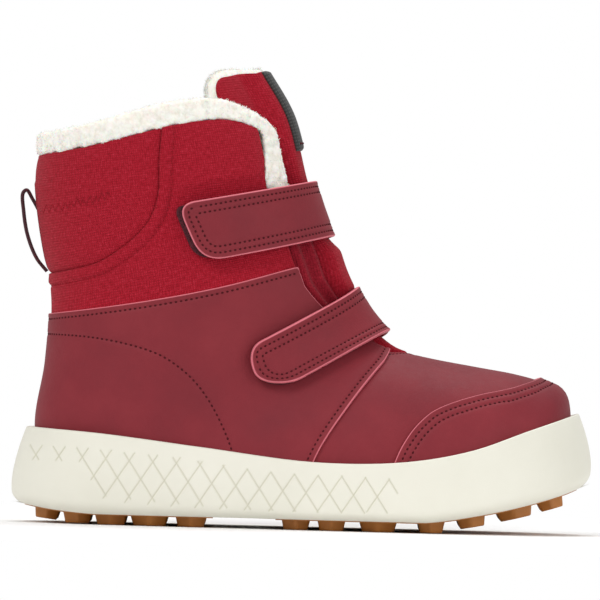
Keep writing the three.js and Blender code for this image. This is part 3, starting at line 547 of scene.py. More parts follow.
def stitches(name, rows, material, length=STITCH, width=0.85, height=0.5, pitch=STITCH_PITCH,
             slant=0.0):
    """Threads lying on a face. rows holds runs of points with the face's outward directions."""
    turns, rings = 6, 5
    points, faces = [], []
    for run, outward in rows:
        if len(run) < 2:
            continue
        middles, ahead = resampled(run, pitch)
        ups = resampled(np.asarray(run), pitch)[0]
        nearest = [int(np.argmin(((run - m) ** 2).sum(1))) for m in middles]
        for m, a, k in zip(middles, ahead, nearest):
            up = outward[k]
            across = np.cross(up, a)
            across /= max(np.linalg.norm(across), 1e-9)
            a = a * math.cos(slant) + across * math.sin(slant)
            across = np.cross(up, a)
            base = len(points)
            for r in range(1, rings):
                t = -math.cos(math.pi * r / rings)
                swell = math.sin(math.pi * r / rings) ** 0.6
                for k2 in range(turns):
                    turn = 2 * math.pi * k2 / turns
                    points.append(m + a * t * length / 2
                                  + across * math.cos(turn) * swell * width / 2
                                  + up * (math.sin(turn) * swell * height / 2 + 0.05
                                          - 0.16 * t * t))
            tail, tip = len(points), len(points) + 1
            points += [m - a * length / 2 - up * 0.12, m + a * length / 2 - up * 0.12]
            for r in range(rings - 2):
                for k2 in range(turns):
                    n = (k2 + 1) % turns
                    here, there = base + r * turns, base + (r + 1) * turns
                    faces.append((here + k2, here + n, there + n, there + k2))
            for k2 in range(turns):
                n = (k2 + 1) % turns
                faces.append((tail, base + n, base + k2))
                faces.append((tip, base + (rings - 2) * turns + k2, base + (rings - 2) * turns + n))
    return build(name, np.array(points), faces, material)


def stitch_rows(blank, name, level, outer, limit=None):
    """Runs along a scored line with the outward direction at each point."""
    rows = []
    for run in blank.runs(name, level):
        run = np.array(run)
        if limit is not None:
            allowed = limit[run]
            pieces = np.split(run, np.flatnonzero(np.diff(allowed.astype(int))) + 1)
            kept = [p for p in pieces if limit[p[0]] and len(p) > 3]
        else:
            kept = [run]
        for p in kept:
            at, angle = blank["at"][p], blank["angle"][p]
            rows.append((on_last(at, angle, outer[p]), last_normal(at, angle)))
    return rows


# ---- Materials -----------------------------------------------------------------------------------
def tint(code):
    """An sRGB hex colour as linear RGBA."""
    parts = [int(code[i : i + 2], 16) / 255 for i in (1, 3, 5)]
    return (*(c / 12.92 if c <= 0.04045 else ((c + 0.055) / 1.055) ** 2.4 for c in parts), 1.0)


def add(tree, kind, links=(), stops=(), **settings):
    """Adds a node. links holds socket names with either another socket or a plain value, and
    stops the (place, hex colour) pairs of a colour ramp."""
    made = tree.nodes.new("ShaderNode" + kind)
    for name, value in settings.items():
        setattr(made, name, value)
    for k, (where, code) in enumerate(stops):
        band = made.color_ramp.elements
        stop = band[k] if k < len(band) else band.new(where)
        stop.position, stop.color = where, tint(code)
    for socket, value in dict(links).items():
        if isinstance(value, bpy.types.NodeSocket):
            tree.links.new(value, made.inputs[socket])
        else:
            made.inputs[socket].default_value = value
    return made


def finish(name):
    """A bare material with its tree, shader and the boot's own coordinates in metres."""
    material = bpy.data.materials.new(name)
    material.use_nodes = True
    tree = material.node_tree
    shader = tree.nodes["Principled BSDF"]
    place = add(tree, "TexCoord").outputs["Object"]
    return material, tree, shader, place


def wire(tree, shader, color=None, roughness=None, normal=None):
    for socket, source in (("Base Color", color), ("Roughness", roughness), ("Normal", normal)):
        if source is not None:
            tree.links.new(source, shader.inputs[socket])


def coated_leather():
    """Split leather with a matte polyurethane coat: an even dull red, a very fine grain, and a
    paler pink where the knife has cut through to the core."""
    material, tree, shader, place = finish("coated_leather")
    cloud = add(tree, "TexNoise", {"Vector": place, "Scale": 28.0, "Detail": 5.0, "Roughness": 0.6})
    pores = add(tree, "TexVoronoi", {"Vector": place, "Scale": 1500.0})  # grain 0.65 mm across
    crease = add(tree, "TexNoise",
                 {"Vector": place, "Scale": 420.0, "Detail": 6.0, "Roughness": 0.62})
    body = add(tree, "ValToRGB", {"Fac": cloud.outputs["Fac"]}, stops=[
        (0.3, "#74202A"), (0.5, "#7D222C"), (0.72, "#862831")]).outputs["Color"]
    cut = add(tree, "Attribute", attribute_name="cut").outputs["Fac"]
    worn = add(tree, "MapRange",
               {"Value": cut, "From Min": 0.12, "From Max": 0.6}).outputs["Result"]
    color = add(tree, "Mix", {0: worn, 6: body, 7: tint("#DB7682")}, data_type="RGBA").outputs[2]
    grain = add(tree, "Bump",
                {"Height": pores.outputs["Distance"], "Strength": 0.16, "Distance": 0.0002})
    folds = add(tree, "Bump",
                {"Height": crease.outputs["Fac"], "Strength": 0.22, "Distance": 0.0003,
                               "Normal": grain.outputs["Normal"]})
    gloss = add(tree, "MapRange", {"Value": crease.outputs["Fac"], "To Min": 0.5, "To Max": 0.68})
    wire(tree, shader, color, gloss.outputs["Result"], folds.outputs["Normal"])
    shader.inputs["IOR"].default_value = 1.5
    shader.inputs["Specular IOR Level"].default_value = 0.27
    return material


def woven_textile(name="woven_textile", dark="#970E20", mid="#AB1428", light="#BE2A3D"):
    """Woven polyester with slubbed yarns: brighter red, thick and thin threads run across, so the
    face is finely streaked. Threads are drawn 0.8 mm apart, about twice the real spacing."""
    material, tree, shader, place = finish(name)
    threads = add(tree, "UVMap", uv_map="cloth").outputs["UV"]
    slub = add(tree, "Mapping", {"Vector": threads, "Scale": (420.0, 2100.0, 1.0)})
    streak = add(tree, "TexNoise",
                 {"Vector": slub.outputs["Vector"], "Scale": 1.0, "Detail": 4.0, "Roughness": 0.7})
    upright = add(tree, "Mapping", {"Vector": threads, "Scale": (2100.0, 620.0, 1.0)})
    ends = add(tree, "TexNoise", {"Vector": upright.outputs["Vector"], "Scale": 1.0, "Detail": 2.0})
    weft = add(tree, "TexWave",
               {"Vector": threads, "Scale": 392.0, "Distortion": 1.4, "Detail": 2.0,
                                 "Detail Scale": 2.0}, bands_direction="Y")
    warp = add(tree, "TexWave", {"Vector": threads, "Scale": 420.0, "Distortion": 1.0},
               bands_direction="X")
    woven = add(tree, "Math", {0: weft.outputs["Fac"], 1: warp.outputs["Fac"]},
                operation="MULTIPLY").outputs[0]
    mixed = add(tree, "Math", {0: streak.outputs["Fac"], 1: ends.outputs["Fac"]},
                operation="ADD").outputs[0]
    spread = add(tree, "MapRange",
                 {"Value": mixed, "From Min": 0.7, "From Max": 1.32}).outputs["Result"]
    yarn = add(tree, "ValToRGB", {"Fac": spread}, stops=[
        (0.05, dark), (0.45, mid), (1.0, light)]).outputs["Color"]
    # Painted shade: the yarn colour is darkened in the hollows of the weave and lifted a little on its
    # crossings.
    shade = add(tree, "MapRange", {"Value": woven, "To Min": 0.72, "To Max": 1.1}).outputs["Result"]
    color = add(tree, "VectorMath", {0: yarn, "Scale": shade}, operation="SCALE").outputs[0]
    relief = add(tree, "Math", {0: woven, 1: streak.outputs["Fac"]}, operation="ADD").outputs[0]
    bump = add(tree, "Bump", {"Height": relief, "Strength": 0.5, "Distance": 0.0004})
    gloss = add(tree, "MapRange", {"Value": streak.outputs["Fac"], "To Min": 0.78, "To Max": 0.98})
    wire(tree, shader, color, gloss.outputs["Result"], bump.outputs["Normal"])
    shader.inputs["Sheen Weight"].default_value = 0.05
    shader.inputs["Specular IOR Level"].default_value = 0.15
    return material


def pile_fleece():
    """Knitted polyester pile, brushed and sheared: warm white, dull, with shaded hollows between tufts."""
    material, tree, shader, place = finish("pile_fleece")
    tufts = add(tree, "TexNoise",
                {"Vector": place, "Scale": 520.0, "Detail": 5.0, "Roughness": 0.65})
    curls = add(tree, "TexVoronoi", {"Vector": place, "Scale": 760.0})  # curls 1.3 mm across
    color = add(tree, "ValToRGB", {"Fac": tufts.outputs["Fac"]}, stops=[
        (0.3, "#E4E0D3"), (0.5, "#F2EFE6"), (0.7, "#FAF8F2")]).outputs["Color"]
    relief = add(tree, "Math", {0: tufts.outputs["Fac"], 1: curls.outputs["Distance"]},
                 operation="ADD").outputs[0]
    bump = add(tree, "Bump", {"Height": relief, "Strength": 0.22, "Distance": 0.0006})
    gloss = add(tree, "MapRange", {"Value": tufts.outputs["Fac"], "To Min": 0.88, "To Max": 1.0})
    wire(tree, shader, color, gloss.outputs["Result"], bump.outputs["Normal"])
    shader.inputs["Sheen Weight"].default_value = 0.3
    shader.inputs["Subsurface Weight"].default_value = 0.3
    shader.inputs["Subsurface Scale"].default_value = 0.003
    return material


def moulded_rubber(name, low, high, pressed, roughness, speck=260.0):
    """Rubber pressed in a steel mould: an even skin with faint clouding and a soft dull gloss. The colour
    given as pressed is painted shade, laid into the scored grooves.
    """
    material, tree, shader, place = finish(name)
    cloud = add(tree, "TexNoise", {"Vector": place, "Scale": 40.0, "Detail": 4.0})
    skin = add(tree, "TexNoise", {"Vector": place, "Scale": speck * 9, "Detail": 3.0})
    body = add(tree, "ValToRGB", {"Fac": cloud.outputs["Fac"]}, stops=[
        (0.3, low), (0.7, high)]).outputs["Color"]
    # Painted shade: the colour darkens towards pressed along the scored grooves.
    score = add(tree, "Attribute", attribute_name="scored").outputs["Fac"]
    color = add(tree, "Mix", {0: score, 6: body, 7: tint(pressed)}, data_type="RGBA").outputs[2]
    bump = add(tree, "Bump", {"Height": skin.outputs["Fac"], "Strength": 0.12, "Distance": 0.0002})
    gloss = add(tree, "MapRange", {"Value": skin.outputs["Fac"], "To Min": roughness - 0.07,
                                   "To Max": roughness + 0.08})
    wire(tree, shader, color, gloss.outputs["Result"], bump.outputs["Normal"])
    shader.inputs["IOR"].default_value = 1.52
    return material


def woven_tape(name, low, high, spacing):
    """Narrow polyester webbing: ribs across its length and a dull thread gloss."""
    material, tree, shader, place = finish(name)
    threads = add(tree, "UVMap", uv_map="cloth").outputs["UV"]
    ribs = add(tree, "TexWave",
               {"Vector": threads, "Scale": math.pi / 10 / (spacing * MM), "Distortion": 0.6},
               bands_direction="Y")
    ends = add(tree, "TexWave",
               {"Vector": threads, "Scale": math.pi / 10 / (0.8 * MM), "Distortion": 0.4},
               bands_direction="X")
    relief = add(tree, "Math", {0: ribs.outputs["Fac"], 1: ends.outputs["Fac"]},
                 operation="MULTIPLY").outputs[0]
    fuzz = add(tree, "TexNoise", {"Vector": place, "Scale": 1400.0, "Detail": 3.0})
    mixed = add(tree, "Math", {0: relief, 1: fuzz.outputs["Fac"]}, operation="MULTIPLY").outputs[0]
    color = add(tree, "ValToRGB", {"Fac": mixed}, stops=[
        (0.05, low), (0.55, high)]).outputs["Color"]
    bump = add(tree, "Bump", {"Height": relief, "Strength": 0.6, "Distance": 0.0003})
    gloss = add(tree, "MapRange", {"Value": fuzz.outputs["Fac"], "To Min": 0.6, "To Max": 0.85})
    wire(tree, shader, color, gloss.outputs["Result"], bump.outputs["Normal"])
    shader.inputs["Sheen Weight"].default_value = 0.1
    return material


def fuzzy_tape(name, low, high, scale, rough):
    """The two faces of touch fastening: looped nylon, or rows of small stiff hooks."""
    material, tree, shader, place = finish(name)
    loops = add(tree, "TexVoronoi", {"Vector": place, "Scale": scale})
    fuzz = add(tree, "TexNoise",
               {"Vector": place, "Scale": scale * 1.3, "Detail": 5.0, "Roughness": 0.7})
    color = add(tree, "ValToRGB", {"Fac": fuzz.outputs["Fac"]}, stops=[
        (0.32, low), (0.66, high)]).outputs["Color"]
    relief = add(tree, "Math", {0: loops.outputs["Distance"], 1: fuzz.outputs["Fac"]},
                 operation="ADD").outputs[0]
    bump = add(tree, "Bump", {"Height": relief, "Strength": 0.8, "Distance": 0.0006})
    gloss = add(tree, "MapRange",
                {"Value": fuzz.outputs["Fac"], "To Min": rough - 0.1, "To Max": rough})
    wire(tree, shader, color, gloss.outputs["Result"], bump.outputs["Normal"])
    return material


def board_like(name, low, high, scale, rough):
    """Stiff and foamed inner layers: pressed fibre or open foam, pale and dull."""
    material, tree, shader, place = finish(name)
    fibre = add(tree, "TexNoise",
                {"Vector": place, "Scale": scale, "Detail": 6.0, "Roughness": 0.7})
    cells = add(tree, "TexVoronoi", {"Vector": place, "Scale": scale * 1.7})
    color = add(tree, "ValToRGB", {"Fac": fibre.outputs["Fac"]}, stops=[
        (0.3, low), (0.7, high)]).outputs["Color"]
    bump = add(tree, "Bump",
               {"Height": cells.outputs["Distance"], "Strength": 0.4, "Distance": 0.0004})
    gloss = add(tree, "MapRange",
                {"Value": fibre.outputs["Fac"], "To Min": rough - 0.08, "To Max": rough + 0.05})
    wire(tree, shader, color, gloss.outputs["Result"], bump.outputs["Normal"])
    return material


def sewing_thread(name="sewing_thread", dark="#3A0910", light="#541019"):
    """Bonded polyester thread: dark red, twisted, with a slight gloss."""
    material, tree, shader, place = finish(name)
    twist = add(tree, "TexWave", {"Vector": place, "Scale": 1100.0, "Distortion": 1.0},
                bands_direction="DIAGONAL")
    color = add(tree, "ValToRGB", {"Fac": twist.outputs["Fac"]}, stops=[
        (0.2, dark), (0.8, light)]).outputs["Color"]
    bump = add(tree, "Bump", {"Height": twist.outputs["Fac"], "Strength": 0.4, "Distance": 0.0001})
    gloss = add(tree, "MapRange", {"Value": twist.outputs["Fac"], "To Min": 0.6, "To Max": 0.8})
    wire(tree, shader, color, gloss.outputs["Result"], bump.outputs["Normal"])
    shader.inputs["Specular IOR Level"].default_value = 0.15
    return material


leather = coated_leather()
textile = woven_textile()
# Painted shade: a darker copy of the textile for the gusset pleats, which lie in shade beside the tongue.
shaded_textile = woven_textile("gusset_textile_shaded", "#7C0D1A", "#98172A", "#AD2636")
fleece = pile_fleece()
# The third colour of each rubber is painted shade for its scored grooves; the gum treads carry no scored mark.
sole_white = moulded_rubber("white_sole_rubber", "#E1DFD1", "#E7E5D8", "#CBC8B2", 0.55)
gum = moulded_rubber("gum_rubber", "#9A5C1C", "#B0702A", "#7C4712", 0.45)
tab_tape = woven_tape("charcoal_tape", "#232322", "#4A4846", 1.1)
loop_tape = woven_tape("maroon_tape", "#3A0D18", "#6A1B2A", 0.9)
loop_pile = fuzzy_tape("looped_nylon", "#2B0B12", "#5E1A26", 900.0, 0.95)
hook_face = fuzzy_tape("hooked_nylon", "#3B1018", "#6E2431", 1200.0, 0.6)
foam = board_like("open_foam", "#D5CFBE", "#EAE5D8", 1300.0, 0.9)
board = board_like("pressed_board", "#B9A98A", "#D2C6AC", 700.0, 0.85)
thread = sewing_thread()
matching_thread = sewing_thread("matching_thread", "#7C0D1A", "#A01727")


# ---- Leather pieces ------------------------------------------------------------------------------
SEAM_INSET = 2.1  # from a cut edge to its row of stitches
SECOND_SEAM = 4.3  # and to the second row
CUT_RINGS = (0.08, 0.25, 0.5)  # where points round a cut leather edge
TURNED_RINGS = (0.15, 0.4, 0.9)  # and a turned textile edge
LEATHER_ROUND, TEXTILE_ROUND = 0.42, 0.6  # how far round_off sinks their edges
UNDERLAP = 0.05  # gap between a piece and the one it lies on
SHOWN_SEAM = 1.2  # a seam this near a cut edge has no stitches
side_letters = {"lateral": -1, "medial": 1}
quarter_edges = np.vstack([drawn(QUARTER_TOP), drawn(QUARTER_THROAT)[1:], drawn(QUARTER_FRONT)[1:]])
quarter_line = np.vstack([quarter_edges, [[-115, -10]]])
counter_region = np.vstack([drawn(COUNTER_LINE), [[-115, -10]]])
toe_region = np.vstack([drawn(TOE_CAP_LINE), [[120, 62]], [[120, -10]]])
collar_region = np.vstack([drawn(COLLAR_EDGE), drawn(FLAP_EDGE)[1:], [[-115, -10]]])


def above_sole(blank):
    """Where the upper shows above the sole's wall."""
    p = last_point(blank["at"], blank["angle"])
    return p[:, 2] > SOLE_TOP(p[:, 0]) - 1


def beside(line, reach=0.5):
    """A line's own level and one close by on each side of it."""
    return line - reach, line, line + reach


def quarter(letter):
    """The leather from the heel to the throat, on one side, with its row of stitches."""
    side = side_letters[letter]
    span = (-185, -3) if side < 0 else (3, 185)
    blank = marked_out(
        (3.6, 13.2), span, 1.15,
        edge=least(inside(quarter_line), beside_throat, on_side(side), above_foot),
        seam=from_line(quarter_edges),
        counter=inside(counter_region),
    )
    blank.keep("edge")
    blank.score("edge", *CUT_RINGS)
    blank.score("seam", *beside(SEAM_INSET))
    blank.score("counter", *beside(0.0))
    fullness = 0.35 * (1 - np.exp(-np.maximum(blank["edge"] - 2, 0) / 6))
    outer = (OVERLAY_FACE + fullness - round_off(blank["edge"], LEATHER_ROUND)
             - groove(blank["seam"], SEAM_INSET) - groove(blank["counter"], 0.0))
    piece = cut_out(f"quarter_{letter}_leather", blank, outer, PANEL_FACE + UNDERLAP, leather)
    seated(piece, "boot", "leather", f"quarter_{letter}")
    shown = above_sole(blank)
    rows = stitch_rows(blank, "seam", SEAM_INSET, outer, shown & (blank["edge"] > SHOWN_SEAM))
    rows += stitch_rows(blank, "counter", 0.0, outer, shown & (blank["edge"] > SHOWN_SEAM))
    seated(stitches(f"quarter_{letter}_stitching", rows, thread), "boot", "leather")


quarter("lateral")
quarter("medial")


def toe_cap():
    blank = marked_out((9.5, LAST_END), (-180, 180), 1.1,
                       edge=least(inside(toe_region), above_foot),
                       seam=from_line(drawn(TOE_CAP_LINE)))
    blank.keep("edge")
    blank.score("edge", *CUT_RINGS)
    blank.score("seam", *beside(SEAM_INSET), *beside(SECOND_SEAM))
    outer = (OVERLAY_FACE - round_off(blank["edge"], LEATHER_ROUND)
             - groove(blank["seam"], SEAM_INSET) - groove(blank["seam"], SECOND_SEAM))
    piece = cut_out("toe_cap_leather", blank, outer, PANEL_FACE + UNDERLAP, leather)
    seated(piece, "boot", "leather", "toe_cap")
    shown = above_sole(blank) & (blank["edge"] > SHOWN_SEAM)
    rows = [row for level in (SEAM_INSET, SECOND_SEAM)
            for row in stitch_rows(blank, "seam", level, outer, shown)]
    seated(stitches("toe_cap_stitching", rows, thread), "boot", "leather")


toe_cap()


def vamp():
    rear = drawn(QUARTER_FRONT)[::-1] + [-7, 4.2]
    region = np.vstack([rear, [[22, 61.4], [44, 61.4], [46, 72], [120, 72], [120, -10]]])
    blank = marked_out((7.5, LAST_END), (-180, 180), 1.3,
                       edge=least(inside(region), beside_throat, above_foot))
    blank.keep("edge")
    blank.score("edge", *CUT_RINGS, 1.4, SEAM_INSET, 2.4)
    p = last_point(blank["at"], blank["angle"])
    throat_edge = (p[:, 2] > 55) & (p[:, 0] < 48)
    outer = (PANEL_FACE + 0.15 - round_off(blank["edge"], LEATHER_ROUND)
             - groove(blank["edge"], SEAM_INSET) * throat_edge)
    piece = cut_out("vamp_leather", blank, outer, 0.0, leather)
    seated(piece, "boot", "leather", "vamp")
    rows = stitch_rows(blank, "edge", SEAM_INSET, outer, throat_edge)
    seated(stitches("vamp_stitching", rows, thread), "boot", "leather")


vamp()


# ---- Padded textile of the shaft -----------------------------------------------------------------
STRAP_HALF = 10.45
UPPER_STRAP_AT, LOWER_STRAP_AT = 3.05, 7.05


def clear_of_strap(at, angle):
    """1 where padding may swell, falling to 0 under the upper strap."""
    away = np.abs(at - UPPER_STRAP_AT) * along_rate(at, angle, REACH)
    turned = np.mod(angle + math.pi, 2 * math.pi) - math.pi
    past_tip = np.radians([92, 104])
    along_it = smoothstep(-turned, *past_tip) + smoothstep(turned, *past_tip)
    return np.clip(smoothstep(away, STRAP_HALF + 1, STRAP_HALF + 9) + along_it, 0, 1)


def padded_swell(blank, fullness):
    """How far the padding stands out: nothing at the seams, full a little way in."""
    near = np.maximum(blank["edge"] - 0.8, 0)
    return fullness * (1 - np.exp(-near / 5)) * clear_of_strap(blank["at"], blank["angle"])


WELT = 4.4  # from the collar's seam to the row of stitches that holds its turned edge


def shaft_panel(letter):
    side = side_letters[letter]
    span = (-182, -20) if side < 0 else (20, 182)
    low = np.vstack([drawn(QUARTER_TOP) - [0, 7], [[120, 80], [120, 220], [-120, 220]]])
    seam = drawn(COLLAR_SEAM)
    behind = np.vstack([seam, [[-120, seam[-1][1]], [-120, 220], [seam[0][0], 220]]])
    blank = marked_out(
        (0.3, 7.4), span, 1.1,
        edge=least(inside(collar_region), inside(low), outside(behind), beside_throat,
                   on_side(side)),
        welt=from_line(seam),
    )
    blank.keep("edge")
    blank.score("edge", *TURNED_RINGS)
    blank.score("welt", *beside(WELT))
    raised = 0.55 * (1 - smoothstep(blank["welt"], WELT - 0.9, WELT))
    outer = (PANEL_FACE + padded_swell(blank, 1.5) + raised
             - round_off(blank["edge"], TEXTILE_ROUND)
             - groove(blank["welt"], WELT, 0.5, 0.6))
    piece = cut_out(f"shaft_textile_{letter}", blank, outer, 0.0, textile)
    seated(piece, "boot", "textile", f"shaft_panel_{letter}")
    rows = stitch_rows(blank, "welt", WELT, outer, blank["edge"] > 0.8)
    seated(stitches(f"shaft_stitching_{letter}", rows, matching_thread), "boot", "textile")


shaft_panel("lateral")
shaft_panel("medial")


ZIGZAG_START, ZIGZAG_END = np.array([-88.5, 107.6]), np.array([-66.9, 113.2])
ZIGZAG_TEETH, ZIGZAG_HALF = 22, 1.3


def collar_rear():
    seam = drawn(COLLAR_SEAM) + [1.1, -1.1]  # laps under the panels
    behind = np.vstack([seam, [[-125, seam[-1][1]], [-125, 220], [seam[0][0], 220]]])
    blank = marked_out((0.3, 5.4), (60, 300), 1.1,
                       edge=least(inside(collar_region), inside(behind)), lap=inside(behind))
    blank.keep("edge")
    blank.score("edge", *TURNED_RINGS)
    tucked = 0.9 * (1 - smoothstep(blank["lap"], 0.4, 3.0))
    outer = PANEL_FACE + padded_swell(blank, 1.9) - np.maximum(tucked, round_off(blank["edge"], TEXTILE_ROUND))
    piece = cut_out("collar_textile", blank, outer, 0.0, textile)
    seated(piece, "boot", "textile", "collar_rear")
    # the zigzag that closes the slit above the pull loop, on both sides of the back
    rows = []
    for side in (-1, 1):
        run = []
        for k in range(ZIGZAG_TEETH + 1):
            share = k / ZIGZAG_TEETH
            x, z = ZIGZAG_START + (ZIGZAG_END - ZIGZAG_START) * share
            run.append(nearest_spot(x, z + (ZIGZAG_HALF if k % 2 else -ZIGZAG_HALF), side))
        corners = np.arange(ZIGZAG_TEETH + 1)
        fine = np.linspace(0, ZIGZAG_TEETH, ZIGZAG_TEETH * 5 + 1)
        at, angle = (np.interp(fine, corners, values) for values in np.array(run).T)
        rows.append((on_last(at, angle, PANEL_FACE + 1.85), last_normal(at, angle)))
    sewn = stitches("collar_zigzag", rows, matching_thread, length=1.5, width=0.55, height=0.35,
                    pitch=1.3)
    seated(sewn, "boot", "textile")


def nearest_spot(x, z, side):
    """The section and angle of a side-view place on one side."""
    turns = np.radians(np.linspace(4, 179, 176)) * side
    at, angle = np.meshgrid(np.linspace(0, 8, 161), turns, indexing="ij")
    p = side_view(at, angle)
    away = (p[..., 0] - x) ** 2 + (p[..., 1] - z) ** 2
    i = np.unravel_index(np.argmin(away), away.shape)
    return at[i], angle[i] % (2 * math.pi)


collar_rear()


# ---- Pile ----------------------------------------------------------------------------------------
def surface_of(mesh):
    """A mesh's points in millimetres and the direction of the surface at each."""
    points, normals = np.empty(len(mesh.vertices) * 3), np.empty(len(mesh.vertices) * 3)
    mesh.vertices.foreach_get("co", points)
    mesh.vertex_normals.foreach_get("vector", normals)
    return points.reshape(-1, 3) / MM, normals.reshape(-1, 3)


def tufted(name, nodes, voxel, swell, tuft, curl=2.6, smoothing=6, trim=None):
    """Pile grown from CAD solids: remeshed and rounded, then raised in tufts about curl mm across."""
    shape = bmesh.new()
    for node in nodes:
        shape.from_mesh(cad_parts[node].data)
    bmesh.ops.remove_doubles(shape, verts=shape.verts, dist=1e-6)
    rough = bpy.data.meshes.new(name)
    shape.to_mesh(rough)
    shape.free()
    holder = bpy.data.objects.new(name, rough)
    bpy.context.scene.collection.objects.link(holder)
    remesh = holder.modifiers.new("even", "REMESH")
    remesh.mode, remesh.voxel_size = "VOXEL", voxel * MM
    relax = holder.modifiers.new("soft", "SMOOTH")
    relax.factor, relax.iterations = 0.5, smoothing
    made = bpy.data.meshes.new_from_object(holder.evaluated_get(bpy.context.evaluated_depsgraph_get()))
    bpy.data.objects.remove(holder)
    points, normals = surface_of(made)
    faces = [tuple(face.vertices) for face in made.polygons]
    rise = np.array([
        swell
        + tuft * (noise.noise(Vector(p / curl)) + 0.55 * noise.noise(Vector(p / curl * 2.3 + 7)))
        for p in points
    ])
    if trim is not None:
        rise *= trim(points, normals)
    return build(name, points + normals * rise[:, None], faces, fleece)


def fibres(name, source, count, length, allowed, seed):
    """Loose pile ends on a tufted piece: short tapered strands that lean every way."""
    draw = np.random.default_rng(seed)
    points, normals = surface_of(source.data)
    chosen = np.flatnonzero(allowed(points, normals))
    chosen = draw.choice(chosen, min(count, len(chosen)), replace=False)
    made, faces = [], []
    for i in chosen:
        lean = normals[i] * 1.1 + draw.normal(0, 0.75, 3)
        lean /= np.linalg.norm(lean)
        side = np.cross(lean, draw.normal(0, 1, 3))
        side /= np.linalg.norm(side)
        other = np.cross(lean, side)
        reach = length * draw.uniform(0.5, 1.1)
        bend = side * draw.normal(0, 0.3) * reach
        root = points[i] - normals[i] * 0.25
        base = len(made)
        for level, width in ((0.0, 0.17), (0.55, 0.11)):
            middle = root + lean * reach * level + bend * level * level
            for turn in (0, 2 * math.pi / 3, 4 * math.pi / 3):
                made.append(middle + (side * math.cos(turn) + other * math.sin(turn)) * width)
        made.append(root + lean * reach + bend)
        for k in range(3):
            n = (k + 1) % 3
            faces.append((base + k, base + n, base + 3 + n, base + 3 + k))
            faces.append((base + 3 + k, base + 3 + n, base + 6))
        faces.append((base + 2, base + 1, base))
    return build(name, np.array(made), faces, fleece)


rim = tufted("collar_pile", ["collar_rim"], 0.75, 0.4, 0.65)
seated(rim, "boot", "fleece", "collar_rim")
rim_ends = fibres("collar_pile_ends", rim, 7000, 1.1, lambda p, n: p[:, 2] > 108, 11)
seated(rim_ends, "boot", "fleece")


def turned_outward(points, normals, middle):
    """How far each face looks away from the leg: 1 straight out, -1 straight in."""
    out = points[:, :2] + [middle, 0]
    out /= np.linalg.norm(out, axis=1, keepdims=True)
    return (normals[:, :2] * out).sum(1)


def into_shaft(points, normals):
    """1 on faces turned to the foot, 0 on faces against the upper."""
    return 1 - smoothstep(turned_outward(points, normals, 45), -0.1, 0.3)


pile_lining = tufted("pile_lining", ["lining"], 1.5, 0.0, 0.8, curl=3.2, trim=into_shaft)
seated(pile_lining, "boot", "fleece", "lining")

insole_pile = tufted("footbed_pile", ["footbed"], 1.4, 0.0, 0.3, curl=3.0, smoothing=4)
seated(insole_pile, "footbed", "fleece", "footbed")


# ---- Tongue --------------------------------------------------------------------------------------
SUNK = LINING_INSIDE - 0.8  # the tongue's side edges lie this far in, behind the lining
TONGUE_END, TONGUE_FLOOR = 9.7, 53  # the last section number and the height where it ends


def tongue_face(at, angle):
    """Offset of the tongue's outer face: proud in the opening, sunk inside the lining beside it."""
    share = np.abs(angle) / np.maximum(opening(at) * LINING_SHARE, 1e-3)
    proud = 1.4 * smoothstep(at, 1.4, 3.0)
    crown = 0.5 * (1 - np.clip(share / 0.42, 0, 1) ** 2)
    full = 2.6 * swelling(at, 3.7, 4.3, 5.7, 6.5) * np.cos(np.clip(share, 0, 1) * math.pi / 2)
    full = full + 0.9 * (1 - smoothstep(at, 1.6,
                                        2.4)) * np.cos(np.clip(share / 1.2, 0, 1) * math.pi / 2)
    return proud + crown + full + (SUNK - proud) * smoothstep(share, 0.44, 0.92)


def tongue_layer(name, half, corner, drop, face, thickness, soft, material):
    """One layer of the tongue. half is half its width in radians, corner the radius of its top
    corners, and drop how far those lie below its middle, in section numbers."""

    def edge(at, angle):
        moved = last_point(at + 0.02, angle) - last_point(np.maximum(at - 0.02, 0), angle)
        rate = np.linalg.norm(moved, axis=-1) / np.where(at < 0.02, 0.02, 0.04)
        top = (at - drop * smoothstep(np.abs(angle), 0.25, 0.7)) * rate
        side = (half - np.abs(angle)) * round_rate(at, angle)
        rounded = corner - np.hypot(np.maximum(corner - top, 0), np.maximum(corner - side, 0))
        end = (TONGUE_END - at) * rate
        return np.minimum(np.where((top < corner) & (side < corner), rounded,
                                   np.minimum(top, side)), end)

    reach = math.degrees(half) + 1
    blank = marked_out((0.0, TONGUE_END), (-reach, reach), 0.9, edge=edge)
    blank.measures["floor"] = last_point(blank["at"], blank["angle"])[:, 2] - TONGUE_FLOOR
    blank.keep("floor").keep("edge")
    blank.score("edge", 0.15, 0.45, 0.9)
    base = tongue_face(blank["at"], blank["angle"]) - face
    outer = base - round_off(blank["edge"], 0.8)
    inner = base - thickness
    if soft:
        blank.score("edge", 1.6, 2.4)
        base = tongue_face(blank["at"], blank["angle"]) - face
        tufts = np.array([noise.noise(Vector(p / 2.4)) + 0.55 * noise.noise(Vector(p + 5))
                          for p in on_last(blank["at"], blank["angle"], base - thickness)])
        curve = round_off(blank["edge"], 2.6)
        outer = base - curve * 0.45
        inner = base - thickness + curve * 0.5 - soft * tufts * smoothstep(blank["edge"], 0, 1.5)
    place = blank["at"], blank["angle"]
    sunk = last_point(*place)[:, 2] - on_last(*place, base)[:, 2]
    lift = np.maximum(sunk, 0) * (1 - smoothstep(place[0], 0.0, 2.0))  # keeps the top edge level
    if soft:
        lift = lift + 1.5 * (1 - smoothstep(place[0], 0.0, 0.8))  # the pile stands above the textile
    return cut_out(name, blank, outer, inner, material, lift=lift)


TONGUE_BEND = ((0.004, 0, 0.0885), (0.004, 0, 0.0955))

